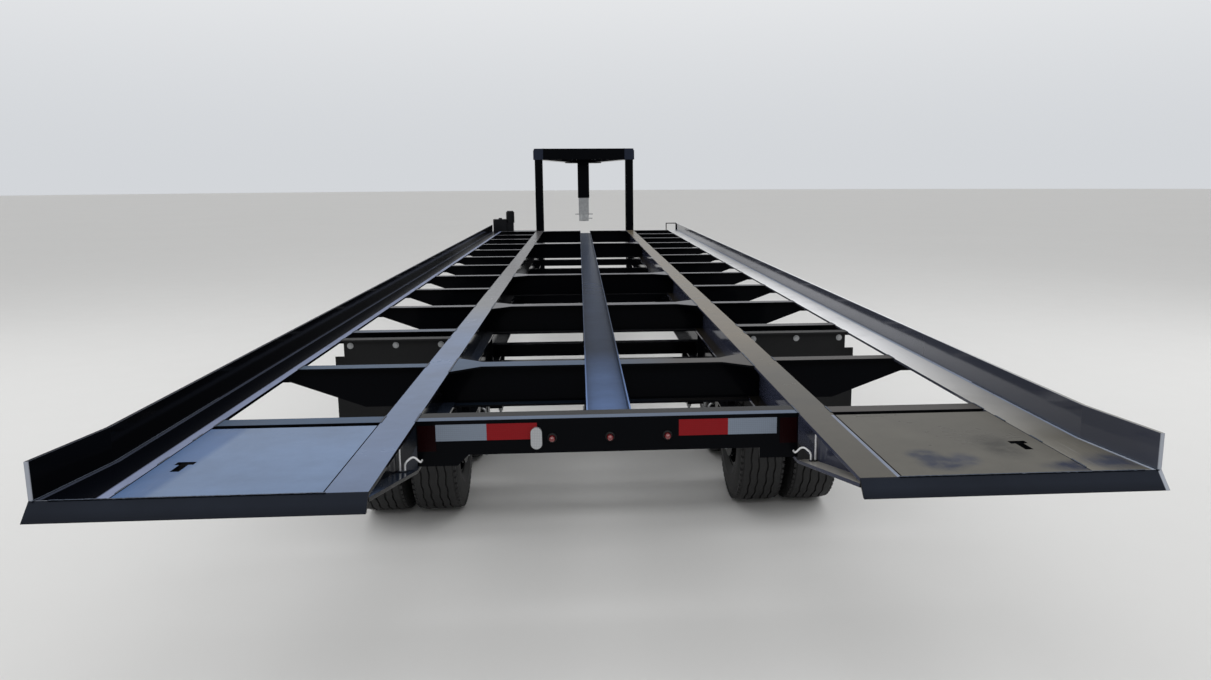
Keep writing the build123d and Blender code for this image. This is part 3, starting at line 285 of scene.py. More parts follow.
def bar_tree():
    """Round bars bent along lines."""
    tree, node, given = new_geometry_tree("bent bars", {"Bar Radius": "Float", "Bend Radius": "Float"})
    curve = node("GeometryNodeMeshToCurve", {"Mesh": given["Geometry"]})
    bent = node("GeometryNodeFilletCurve", {
        "Curve": curve, "Count": 6, "Radius": given["Bend Radius"]}, mode="POLY")
    section = node("GeometryNodeCurvePrimitiveCircle", {"Resolution": 12, "Radius": given["Bar Radius"]})
    bar = node("GeometryNodeCurveToMesh", {"Curve": bent, "Profile Curve": section, "Fill Caps": True})
    return end_geometry_tree(tree, bar, given["Material"])


def lug_tree():
    """Shoulder lugs of a pair of tyres: a ring of blocks at each shoulder of both."""
    tree, node, given = new_geometry_tree("shoulder lugs", {
        "Count": "Int", "Radius": "Float", "Centre": "Vector", "Spacing": "Float", "Shoulder": "Float",
        "Lug": "Vector"})
    lug = node("GeometryNodeMeshCube", {"Size": given["Lug"]})
    circle = node("GeometryNodeMeshCircle", {"Vertices": given["Count"], "Radius": given["Radius"]})
    upright = node("GeometryNodeTransform", {"Geometry": circle, "Rotation": (0.0, pi / 2, 0.0)})
    outward = node("GeometryNodeInputPosition")
    turn = node("FunctionNodeAlignRotationToVector", {"Vector": outward}, axis="Z", pivot_axis="X")
    ring = node("GeometryNodeInstanceOnPoints", {"Points": upright, "Instance": lug, "Rotation": turn})
    rings = node("GeometryNodeJoinGeometry")
    for tyre in (-0.5, 0.5):
        for shoulder in (-1.0, 1.0):
            away = node("ShaderNodeMath", {0: given["Spacing"], 1: tyre}, operation="MULTIPLY")
            out = node("ShaderNodeMath", {0: given["Shoulder"], 1: shoulder, 2: away},
                       operation="MULTIPLY_ADD")
            shift = node("ShaderNodeCombineXYZ", {"X": out})
            place = node("ShaderNodeVectorMath", {0: shift, 1: given["Centre"]}, operation="ADD")
            moved = node("GeometryNodeTransform", {"Geometry": ring, "Translation": place})
            tree.links.new(moved.outputs[0], rings.inputs[0])
    return end_geometry_tree(tree, rings, given["Material"])


# Masks of the enamel's film: each returns a strength from 0 to 1 over a material's point

def facing(node, point, toward, strength):
    """The given strength where the object's own surface faces the given way, else 0."""
    normal = node("ShaderNodeTexCoord").outputs["Normal"]
    share = node("ShaderNodeVectorMath", {0: normal, 1: toward}, operation="DOT_PRODUCT")
    return node("ShaderNodeMapRange", {
        "Value": share.outputs["Value"], "From Min": 0.6, "From Max": 0.95, "To Max": strength})


def cloud(node, point, size, low, high, detail=5.0):
    """Soft clouds of the given size in metres, between two strengths."""
    noise = node("ShaderNodeTexNoise", {
        "Vector": point, "Scale": 1 / size, "Detail": detail, "Roughness": 0.6})
    return node("ShaderNodeMapRange", {
        "Value": noise, "From Min": 0.32, "From Max": 0.68, "To Min": low, "To Max": high})


def scuffs(node, point, width, length, strength):
    """Scuffs along the trailer, of about the given width and length."""
    drawn = node("ShaderNodeVectorMath", {0: point, 1: (1 / width, 1 / length, 1 / width)},
                 operation="MULTIPLY")
    noise = node("ShaderNodeTexNoise", {"Vector": drawn, "Scale": 1.0, "Detail": 3.0})
    return node("ShaderNodeMapRange", {
        "Value": noise, "From Min": 0.6, "From Max": 0.74, "To Max": strength})


def patch(node, point, centre, reach, strength):
    """A soft patch round a point, broken by small clouds."""
    away = node("ShaderNodeVectorMath", {0: point, 1: centre}, operation="SUBTRACT")
    share = node("ShaderNodeVectorMath", {0: away, 1: [1 / size for size in reach]}, operation="MULTIPLY")
    distance = node("ShaderNodeVectorMath", {0: share}, operation="LENGTH")
    near = node("ShaderNodeMapRange", {
        "Value": distance.outputs["Value"], "From Min": 1.0, "From Max": 0.3, "To Max": strength},
        interpolation_type="SMOOTHSTEP")
    return node("ShaderNodeMath", {0: near, 1: cloud(node, point, 40 * MM, 0.35, 1.0)}, operation="MULTIPLY")


def beside(node, point, start, run):
    """The way from start to the point, and how far left of the level direction run it leads."""
    away = node("ShaderNodeVectorMath", {0: point, 1: start}, operation="SUBTRACT")
    side = node("ShaderNodeVectorMath", {0: away, 1: (-run.y, run.x, 0.0)}, operation="DOT_PRODUCT")
    return away, side.outputs["Value"]


def beyond(node, point, start, stop, soft, strength):
    """All that lies left of the line from start to stop, with a soft edge."""
    side = beside(node, point, start, (stop - start).normalized())[1]
    return node("ShaderNodeMapRange", {
        "Value": side, "From Min": -soft, "From Max": soft, "To Max": strength},
        interpolation_type="SMOOTHSTEP")


def fade(node, point, axis, full, gone, strength):
    """The given strength at full and past it, and nothing at gone, along one axis."""
    parts = node("ShaderNodeSeparateXYZ", {"Vector": point})
    return node("ShaderNodeMapRange", {
        "Value": parts.outputs[axis], "From Min": gone, "From Max": full, "To Max": strength})


def stripe(node, point, start, stop, width, strength):
    """A stripe of the given width along the straight line from start to stop, seen from above."""
    length = (stop - start).length
    run = (stop - start) / length
    away, side = beside(node, point, start, run)
    along = node("ShaderNodeVectorMath", {0: away, 1: run / length}, operation="DOT_PRODUCT")
    within = node("ShaderNodeMath", {0: along.outputs["Value"], 1: 0.5, 2: 0.5}, operation="COMPARE")
    off = node("ShaderNodeMath", {0: side}, operation="ABSOLUTE")
    level = node("ShaderNodeMapRange", {
        "Value": off, "From Min": width * 0.6, "From Max": width * 0.4, "To Max": strength})
    return node("ShaderNodeMath", {0: level, 1: within}, operation="MULTIPLY")


# Finishes

def draw_marks(node, point, colour, marks):
    """Lays the marks over a colour: each holds its mask, its hex colour and the mask's values."""
    for mask, shade, *values in marks:
        colour = node("ShaderNodeMix", {
            0: mask(node, point, *values), 6: colour, 7: srgb(shade)}, data_type="RGBA").outputs[2]
    return colour


def enamel(name, paint, film, cover, gloss=0.1, film_gloss=0.3, ior=1.08, marks=(), traces=()):
    """Black alkyd enamel sprayed over hot rolled steel: a deep gloss with a slight orange peel, slow
    waves from the mill, and a thin film on what faces up, which is partly dusty and partly a painted
    reflection of the sky, and is fainter below the deck as painted shade. The marks are drawn in that
    film, and the traces on every face."""
    material, node, point = new_material(name)
    uneven = node("ShaderNodeMath", {
        0: cloud(node, point, 260 * MM, 0.85, 1.1), 1: cloud(node, point, 60 * MM, 0.97, 1.03, 2.0)},
        operation="MULTIPLY")
    # Painted shade: below the deck the film, with its painted sheen, fades to a fifth of its cover
    open_sky = fade(node, point, "Z", DECK_TOP - 20 * MM, DECK_TOP - 60 * MM, cover)
    open_sky.inputs["To Min"].default_value = cover * 0.2
    shown = node("ShaderNodeMath", {
        0: facing(node, point, (0.0, 0.0, 1.0), 1.0), 1: open_sky}, operation="MULTIPLY")
    dust_and_sheen = node("ShaderNodeMath", {0: shown, 1: uneven}, operation="MULTIPLY", use_clamp=True)
    drawn = draw_marks(node, point, srgb(film), marks)
    colour = node("ShaderNodeMix", {0: dust_and_sheen, 6: srgb(paint), 7: drawn}, data_type="RGBA").outputs[2]
    rough = node("ShaderNodeMapRange", {"Value": dust_and_sheen, "To Min": gloss, "To Max": film_gloss})
    peel = node("ShaderNodeTexNoise", {"Vector": point, "Scale": 1 / (9 * MM), "Detail": 0.0})
    waves = node("ShaderNodeTexNoise", {"Vector": point, "Scale": 1 / (140 * MM), "Detail": 1.0})
    edges = node("ShaderNodeBevel", {"Radius": 2.5 * MM}, samples=4)
    fine = node("ShaderNodeBump", {"Height": peel, "Distance": 0.015 * MM, "Normal": edges})
    slow = node("ShaderNodeBump", {"Height": waves, "Distance": 0.4 * MM, "Normal": fine})
    return close_material(material, {
        "Base Color": draw_marks(node, point, colour, traces), "Roughness": rough, "IOR": ior,
        "Normal": slow})


def plain_finish(name, colour, roughness, metallic=0.0, ior=1.5, grain_size=4 * MM, grain_depth=0.05 * MM,
                 shade=0.85, rough_swing=0.08):
    """A surface of one colour whose shade, roughness and relief follow a grain. The real grains are too
    fine to show on so large a trailer, so they are drawn as coarse as grain_size, in metres."""
    material, node, point = new_material(name)
    grain = node("ShaderNodeTexNoise", {"Vector": point, "Scale": 1 / grain_size, "Detail": 4.0})
    tint = node("ShaderNodeMix", {
        0: cloud(node, point, 12 * grain_size, shade, 1.0, 3.0), 6: BLACK, 7: srgb(colour)},
        data_type="RGBA")
    rough = node("ShaderNodeMapRange", {
        "Value": grain, "From Min": 0.3, "From Max": 0.7,
        "To Min": roughness - rough_swing, "To Max": roughness + rough_swing})
    relief = node("ShaderNodeBump", {"Height": grain, "Distance": grain_depth})
    inputs = {"Base Color": tint.outputs[2], "Roughness": rough, "Metallic": metallic, "Normal": relief}
    if metallic < 0.5:
        inputs["IOR"] = ior
    return close_material(material, inputs)


def lens(name, colour, pitch, coat=1.0, ior=1.49):
    """Moulded acrylic lens: clear gloss outside with square prisms behind it, drawn in relief. The real
    prisms are too fine to show, so they are drawn as coarse as the pitch, in metres."""
    material, node, point = new_material(name)
    cells = node("ShaderNodeTexVoronoi", {"Vector": point, "Scale": 1 / pitch, "Randomness": 0.0},
                 distance="CHEBYCHEV")
    light = node("ShaderNodeMapRange", {
        "Value": cells, "From Min": 0.0, "From Max": 0.6, "To Min": 1.0, "To Max": 0.55})
    tint = node("ShaderNodeMix", {0: light, 6: BLACK, 7: srgb(colour)}, data_type="RGBA")
    relief = node("ShaderNodeBump", {"Height": cells, "Distance": 0.6 * MM, "Strength": 0.6})
    return close_material(material, {
        "Base Color": tint.outputs[2], "Roughness": 0.12, "IOR": ior, "Normal": relief, "Coat Weight": coat,
        "Coat Roughness": 0.04})


def sheeting(name, colour):
    """Prismatic reflective sheeting, laminated: a clear film over cells of 6 mm that shine evenly."""
    material, node, point = new_material(name)
    cells = node("ShaderNodeTexVoronoi", {
        "Vector": point, "Scale": 1 / (6 * MM), "Randomness": 0.0}, feature="DISTANCE_TO_EDGE")
    edge = node("ShaderNodeMapRange", {
        "Value": cells, "From Min": 0.02, "From Max": 0.12, "To Min": 0.8, "To Max": 1.0})
    tint = node("ShaderNodeMix", {0: edge, 6: BLACK, 7: srgb(colour)}, data_type="RGBA")
    return close_material(material, {"Base Color": tint.outputs[2], "Roughness": 0.3, "IOR": 1.25})


# Settings

def millimetres(name, description, size):
    """A setting for a length, given in millimetres."""
    return bpy.props.FloatProperty(name=name, description=description, default=size * MM, unit="LENGTH")


def whole_number(name, description, default, least):
    """A setting for a whole number."""
    return bpy.props.IntProperty(name=name, description=description, default=default, min=least)


def hex_colour(name, place, default):
    """A setting for a hex colour."""
    return bpy.props.StringProperty(name=name, description=f"Hex colour of {place}", default=default)


def film_on(place, default):
    """A setting for the film's colour on one place."""
    return hex_colour(f"Film, {place}", f"the film on the {place}", default)


class TrailerPaint(bpy.types.PropertyGroup):
    enamel: hex_colour("Enamel", "the black enamel", "#07080b")
    cover: bpy.props.FloatProperty(
        name="Film cover", description="Share of the deck that the film hides", default=0.8,
        min=0.0, max=1.0, subtype="FACTOR")
    # The films are partly dusty and partly painted reflections of the sky: bluish on the left and in the
    # middle, brownish grey on the right, silver on the right rail, and near black on the left rail as a
    # painted dark reflection
    beam_left: film_on("left beam", "#687a9a")
    beam_right: film_on("right beam", "#524f48")
    plate_left: film_on("left platform", "#6a82a6")
    plate_right: film_on("right platform", "#66645e")
    middle: film_on("cross pieces", "#43566f")
    frame: film_on("chassis and the neck", "#3d4046")
    trough: film_on("centre trough", "#3a465c")
    rail_left: film_on("left rail", "#06080e")
    rail_right: film_on("right rail", "#eff0f3")
    strip: film_on("approach strips", "#3d4555")
    bumper: film_on("bumper", "#56657c")
    bead: film_on("weld beads", "#565e6c")


class TrailerTyres(bpy.types.PropertyGroup):
    width: millimetres("Width", "Width of one tyre", 235)
    bead: millimetres("Bead radius", "Radius where the tyre sits on its rim", 203.3)
    groove_width: millimetres("Groove width", "Width of a tread groove", 8)
    groove_depth: millimetres("Groove depth", "Depth of a tread groove", 11)
    zigzag: millimetres("Zigzag", "How far a groove swings to each side", 2.5)
    lugs: whole_number("Shoulder lugs", "Lugs round one shoulder", 64, 12)


class TrailerWheelNuts(bpy.types.PropertyGroup):
    count: whole_number("Nuts", "Nuts on one wheel", 8, 3)
    circle: millimetres("Bolt circle radius", "From the axle to a nut", 82.5)
    across: millimetres("Across flats", "Width of a nut", 33)
    cap_count: whole_number("Cap screws", "Screws on one hub cap", 6, 3)
    cap_circle: millimetres("Cap screw radius", "From the axle to a cap screw", 47)


class TrailerFasteners(bpy.types.PropertyGroup):
    flap_bolts: whole_number("Flap bolts", "Bolts along the top of one flap plate", 3, 2)
    flap_first: millimetres("First flap bolt", "From the middle to the first bolt", 721)
    flap_pitch: millimetres("Flap bolt pitch", "From bolt to bolt", 203.5)
    flap_across: millimetres("Flap bolt width", "Across the flats of a flap bolt", 17)
    clamp_radius: millimetres("Spring clamp bar", "Radius of the bar of a spring clamp", 8)
    clamp_bend: millimetres("Spring clamp bend", "Radius of a spring clamp's bends", 16)


class TrailerWelds(bpy.types.PropertyGroup):
    width: millimetres("Bead width", "Width of a weld bead", 8)
    height: millimetres("Bead height", "Height of a weld bead", 2)
    pitch: millimetres("Ripple pitch", "Distance from ripple to ripple", 7)
    seed: whole_number("Seed", "Seed of the uneven ripples", 7, 0)


class TrailerTape(bpy.types.PropertyGroup):
    segment: millimetres("Segment", "Length of one colour of the tape", 151)
    height: millimetres("Height", "Height of the tape", 50.8)
    below_deck: millimetres("Below the deck", "From the deck down to the tape", 12)
    inner_left: millimetres("Inner end, left", "From the middle to the left tape", 220)
    inner_right: millimetres("Inner end, right", "From the middle to the right tape", 210)
    red: hex_colour("Red", "the red cells", "#7c0a12")
    white: hex_colour("White", "the white cells", "#737d8b")


class TrailerStage(bpy.types.PropertyGroup):
    floor_colour: hex_colour("Floor", "the floor", "#dcdcdb")
    floor_radius: millimetres("Floor radius", "Radius of the floor", 140000)
    horizon: hex_colour("Horizon", "the background near the floor", "#d3d6da")
    zenith: hex_colour("Zenith", "the background overhead", "#ffffff")
    fill: bpy.props.FloatProperty(
        name="Fill", description="Strength of the light from all round", default=0.85, min=0.0)
    softbox: bpy.props.FloatProperty(
        name="Softbox", description="Power of each softbox", default=220.0, min=0.0, subtype="POWER")


# Steps

class TRAILER_OT_stage(bpy.types.Operator):
    """Sets the floor, the light and the camera"""
    bl_idname = "trailer.stage"
    bl_label = "Stage"

    # The view that was solved from the photograph: metres from the bumper's face and the deck, degrees
    LENS = 27.415
    SHIFT = -0.0323
    EYE = (-0.0827, -2.709, 0.709)
    HEADING = -4.0
    DOWN = 9.9
    ROLL = -0.3

    # Softboxes: name, place, size along X and Y
    SOFTBOXES = (
        ("softbox left", (-6.0, -2.0, 7.5), (4.0, 12.0)),
        ("softbox right", (6.0, -2.0, 7.5), (4.0, 12.0)),
        ("softbox rear", (0.0, -13.0, 7.0), (8.0, 3.0)),
    )

    def execute(self, context):
        settings = context.scene.trailer_stage
        self.floor(settings)
        self.world(context.scene, settings)
        self.softboxes(context.scene, settings)
        self.camera(context.scene)
        context.scene.view_settings.view_transform = "Standard"
        return {"FINISHED"}

    def floor(self, settings):
        """A large level disc at the ground."""
        def disc(bm):
            bmesh.ops.create_circle(bm, cap_ends=True, segments=96, radius=settings.floor_radius)
        # Matt floor paint, rolled: even, with a grain too slight to draw the eye
        paint = plain_finish("matt floor paint", settings.floor_colour, 0.7, ior=1.3, shade=0.985,
                             grain_size=300 * MM, grain_depth=0.0)
        floor = add_object("floor", mesh_from("floor", disc), paint)
        if floor.data.polygons[0].normal.z < 0:
            floor.data.flip_normals()

    def world(self, scene, settings):
        """A pale background for the eye and for reflections, and an even white light for the rest."""
        world = bpy.data.worlds.new("studio")
        scene.world = world
        world.use_nodes = True
        world.node_tree.nodes.clear()
        node = partial(add_node, world.node_tree)
        direction = node("ShaderNodeTexCoord").outputs["Generated"]
        up = node("ShaderNodeSeparateXYZ", {"Vector": direction}).outputs["Z"]
        height = node("ShaderNodeMapRange", {"Value": up, "From Min": 0.0, "From Max": 0.45},
                      interpolation_type="SMOOTHSTEP")
        tone = node("ShaderNodeMix", {
            0: height, 6: srgb(settings.horizon), 7: srgb(settings.zenith)}, data_type="RGBA")
        seen = node("ShaderNodeBackground", {"Color": tone.outputs[2]})
        light = node("ShaderNodeBackground", {"Strength": settings.fill})
        path = node("ShaderNodeLightPath").outputs
        shown = path["Is Camera Ray"]
        for ray in ("Is Glossy Ray", "Is Transmission Ray"):
            shown = node("ShaderNodeMath", {0: shown, 1: path[ray]}, operation="MAXIMUM")
        mixed = node("ShaderNodeMixShader", {0: shown, 1: light, 2: seen})
        node("ShaderNodeOutputWorld", {"Surface": mixed})

    def softboxes(self, scene, settings):
        """Two long softboxes overhead and one behind, turned to the middle of the bed."""
        for name, place, size in self.SOFTBOXES:
            lamp = bpy.data.lights.new(name, "AREA")
            lamp.shape = "RECTANGLE"
            lamp.size, lamp.size_y = size
            lamp.energy = settings.softbox
            holder = bpy.data.objects.new(name, lamp)
            holder.location = place
            aim = Vector((0.0, place[1] * 0.4, 0.8)) - Vector(place)
            holder.rotation_euler = aim.to_track_quat("-Z", "Y").to_euler()
            scene.collection.objects.link(holder)

    def camera(self, scene):
        """The photograph's view: behind the trailer, a little left of the middle, above the deck."""
        camera = bpy.data.cameras.new("camera")
        camera.sensor_width = 36.0
        camera.lens = self.LENS
        camera.shift_x = self.SHIFT
        camera.clip_end = 400.0
        holder = bpy.data.objects.new("camera", camera)
        across, along, up = self.EYE
        holder.location = (across, BUMPER_FACE + along, DECK_TOP + up)
        turn = Matrix.Identity(4)
        for angle, axis in ((self.HEADING, "Z"), (90 - self.DOWN, "X"), (self.ROLL, "Z")):
            turn = turn @ Matrix.Rotation(radians(angle), 4, axis)
        holder.rotation_euler = turn.to_euler()
        scene.collection.objects.link(holder)
        scene.camera = holder


class TRAILER_OT_finishes(bpy.types.Operator):
    """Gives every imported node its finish"""
    bl_idname = "trailer.finishes"
    bl_label = "Finishes"

    def execute(self, context):
        paint = context.scene.trailer_paint
        by_slot = self.by_slot(paint)
        by_node = self.by_node(paint)
        for row in frame["record"]["subparts"]:
            name = row["node"]
            # Nodes that share a finish are found by the first words of their names
            kind = next((start for start in ("centre_crossmember", "outriggers", "neck_beam")
                         if name.startswith(start)), name)
            mesh = frame["nodes"][name].data
            mesh.materials.clear()
            mesh.materials.append(by_node.get(kind, by_slot[row["material_slot"]]))
        return {"FINISHED"}

    def by_slot(self, paint):
        """The finish of each material slot of the record."""
        return {
            "black_paint": enamel("black enamel", paint.enamel, paint.frame, paint.cover * 0.4),
            # Black enamel over pressed steel wheels, sprayed: the same gloss under a thinner, grey film
            "wheel_paint": enamel("wheel enamel", "#0b0c0e", "#3a3936", 0.3),
            # Carbon black rubber, moulded: a dull grey black with fine dust in its grain
            "tyre_rubber": plain_finish("tyre rubber", "#161617", 0.72, ior=1.52, shade=0.75,
                                        grain_size=3 * MM, grain_depth=0.12 * MM),
            # Reinforced rubber sheet, calendered: dull, with a faint fabric print
            "flap_rubber": plain_finish("rubber sheet", "#0a0b0d", 0.55, ior=1.3),
            "lamp_red": lens("red acrylic lens", "#7c0a12", 5 * MM),
            "lamp_clear": lens("clear acrylic lens", "#a7aaae", 5 * MM),
            # Soft vinyl sheath, extruded: an even white with a low gloss
            "lead_sheath": plain_finish("white vinyl", "#eff0f2", 0.4, ior=1.53, shade=0.95),
            # Hard chrome, ground and polished: a bright mirror without grain
            "rod_chrome": plain_finish(
                "hard chrome", "#d6d8da", 0.1, metallic=1.0, rough_swing=0.03, grain_depth=0.0),
            # Zinc plate over steel, bright dipped: a grey metal with cloudy patches
            "plated_steel": plain_finish("zinc plate", "#a9abad", 0.38, metallic=1.0, shade=0.75),
            # Dark grey machine enamel, sprayed: an even half gloss
            "unit_steel": plain_finish("machine enamel", "#121316", 0.35, ior=1.2),
        }

    def by_node(self, paint):
        """The nodes whose film or lens differs from their slot's: a painted bluish reflection of the sky on
        the left, a dusty film with a painted brownish reflection on the right, and the same painted grey
        sheen far away."""
        rail_foot = RAIL_OUTER - 6 * MM
        flange_line = RAIL_INNER + 14 * MM
        bend = RAIL_REAR + FLARE_LENGTH
        far = BUMPER_FACE + 12.0
        strip_edge = STRIP_HIGH.x - 5 * MM
        flare = STRIP_HIGH.x - 16 * MM
        seam = BEAM_OUTER - 6 * MM
        # Painted highlight: a light grey on the side rails' rear end faces
        rear_end_highlight = (fade, "#a0a5af", "Y", RAIL_REAR + 1.5 * MM, RAIL_REAR + 2.5 * MM, 0.9)
        shade_line = (Vector((-1.0798, -6.7017, 0)), Vector((-1.0508, -6.0761, 0)))

        # A coat, and marks for it: a fade along the trailer, a straight line and a soft spot, in metres
        def black(place, film, cover=paint.cover, **rest):
            return enamel(f"black enamel, {place}", paint.enamel, film, cover, **rest)

        def along(shade, full, gone, start=BUMPER_FACE):
            return fade, shade, "Y", start + full, start + gone, 1.0

        def line(shade, width, start_x, start_y, stop_x, stop_y):
            return stripe, shade, Vector((start_x, start_y, 0)), Vector((stop_x, stop_y, 0)), width, 1.0

        def spot(shade, x, y, reach_x, reach_y, strength):
            return patch, shade, Vector((x, y, DECK_TOP)), (reach_x, reach_y, 1.0), strength
        # Painted reflections on the cross pieces and outriggers: brownish grey right of the middle, grey far
        # away
        cross = black("cross pieces", paint.middle, marks=(
            (fade, "#4a4745", "X", 0.3, 0.0, 1.0), along("#6a6a6e", 2.2, 1.3)))
        return {
            "centre_crossmember": cross,
            "outriggers": cross,
            # Painted sheen: the neck's rear faces are a lighter bluish grey
            "neck_beam": black("neck", paint.frame, paint.cover * 0.4,
                               traces=((facing, "#262b38", (0.0, -1.0, 0.0), 0.9),)),
            # Painted sheen: the left beam's bluish film turns grey past 2.6 m and darker grey past 4.7 m
            "bed_beam_left": black(
                "left beam", paint.beam_left, ior=1.15,
                marks=(along("#787a7e", 2.6, 1.6), along("#585658", 4.7, 2.6))),
            # Painted light on the right beam: a bluish painted highlight along the seam, a brownish painted
            # reflection past 1.5 m, a pale painted highlight on slopes facing up and back, and painted sheen
            # on the inner face
            "bed_beam_right": black(
                "right beam", paint.beam_right, ior=1.12,
                marks=(line("#7d879c", 9 * MM, seam, PLATE_LOW.y, seam, PLATE_HIGH.y),
                       along("#716859", 1.5, 0.5)),
                traces=((facing, "#e8e4da", (0.0, 0.8, 0.6), 1.2),
                        (facing, "#3a3e50", (-1.0, 0.0, 0.0), 0.8))),
            "platform_left": black("left platform", paint.plate_left, ior=1.15, film_gloss=0.24, marks=(
                (beyond, "#3f6294", *shade_line, 16 * MM, 0.85),
                (scuffs, "#7483a0", 6 * MM, 160 * MM, 0.2))),
            "platform_right": black("right platform", paint.plate_right, film_gloss=0.34, marks=(
                spot("#363b4a", 0.822, -6.62, 0.08, 0.08, 1.3),
                spot("#363b4a", 0.80, -6.55, 0.06, 0.07, 1.2),
                spot("#333a50", 0.892, -6.59, 0.05, 0.07, 0.8),
                spot("#2d3244", 1.17, -6.67, 0.14, 0.06, 1.3),
                spot("#2c2c2c", 1.03, -6.49, 0.08, 0.14, 0.7),
                (scuffs, "#6c6a65", 5 * MM, 120 * MM, 0.3))),
            # Painted highlight along the strips' outer edges; the scuffs are wear
            "approach_strips": black(
                "approach strips", paint.strip, ior=1.15,
                marks=((scuffs, "#3a414f", 5 * MM, 30 * MM, 0.5),),
                traces=(line("#9ea3ad", 10 * MM, strip_edge, STRIP_LOW.y, strip_edge, STRIP_HIGH.y),)),
            # Painted light on the left rail: a near black painted reflection, a bright painted highlight
            # along the flange, and fainter painted highlights along the foot and its flare
            "side_rail_left": black(
                "left rail", paint.rail_left, ior=1.05,
                marks=(line("#8e98b6", 28 * MM, -flange_line, RAIL_REAR, -flange_line, far),
                       line("#4a5060", 16 * MM, -rail_foot, bend, -rail_foot, far),
                       line("#4a5060", 16 * MM, -rail_foot, bend, -flare, RAIL_REAR)),
                traces=(rear_end_highlight,)),
            # Painted light on the right rail: a silver painted reflection of the sky, brownish near the rear
            # and pale grey far away, painted highlights along the foot and its flare, and painted sheen on
            # the wall's inner face; the scuffs are wear
            "side_rail_right": black(
                "right rail", paint.rail_right, 1.0, ior=1.4,
                marks=(along("#67645c", 0.3, 1.9, RAIL_REAR), along("#cbccce", 5.5, 3.7, RAIL_REAR),
                       spot("#363b4a", 1.25, -6.64, 0.09, 0.09, 1.2),
                       line("#96a3bb", 14 * MM, rail_foot, bend, rail_foot, far),
                       line("#aab3c4", 14 * MM, rail_foot, bend, flare, RAIL_REAR),
                       (scuffs, "#a5a5a5", 5 * MM, 200 * MM, 0.3)),
                traces=((facing, "#40434e", (-1.0, 0.0, 0.0), 0.9), rear_end_highlight)),
            # Painted shade: from about 40 mm behind its face the bumper's top film is near black, and the
            # film left along the rear edge is a painted highlight
            "rear_bumper": black(
                "bumper", paint.bumper, ior=1.1, marks=(along("#06070a", 42 * MM, 36 * MM),)),
            # Painted reflection: the trough's film is a light blue near the bumper, fading out over 1.2 m
            "centre_trough": black(
                "trough", paint.trough, ior=1.03, marks=(along("#7490c4", 0.0, 1.2, BUMPER_FRONT),)),
            # The tail lamps' lenses are unlit, and their near black red is painted shade, as they sit in
            # shadow in the bumper's corners
            "tail_lamps": lens("red acrylic lens in painted shade", "#170305", 5 * MM, coat=0.0, ior=1.12),
        }


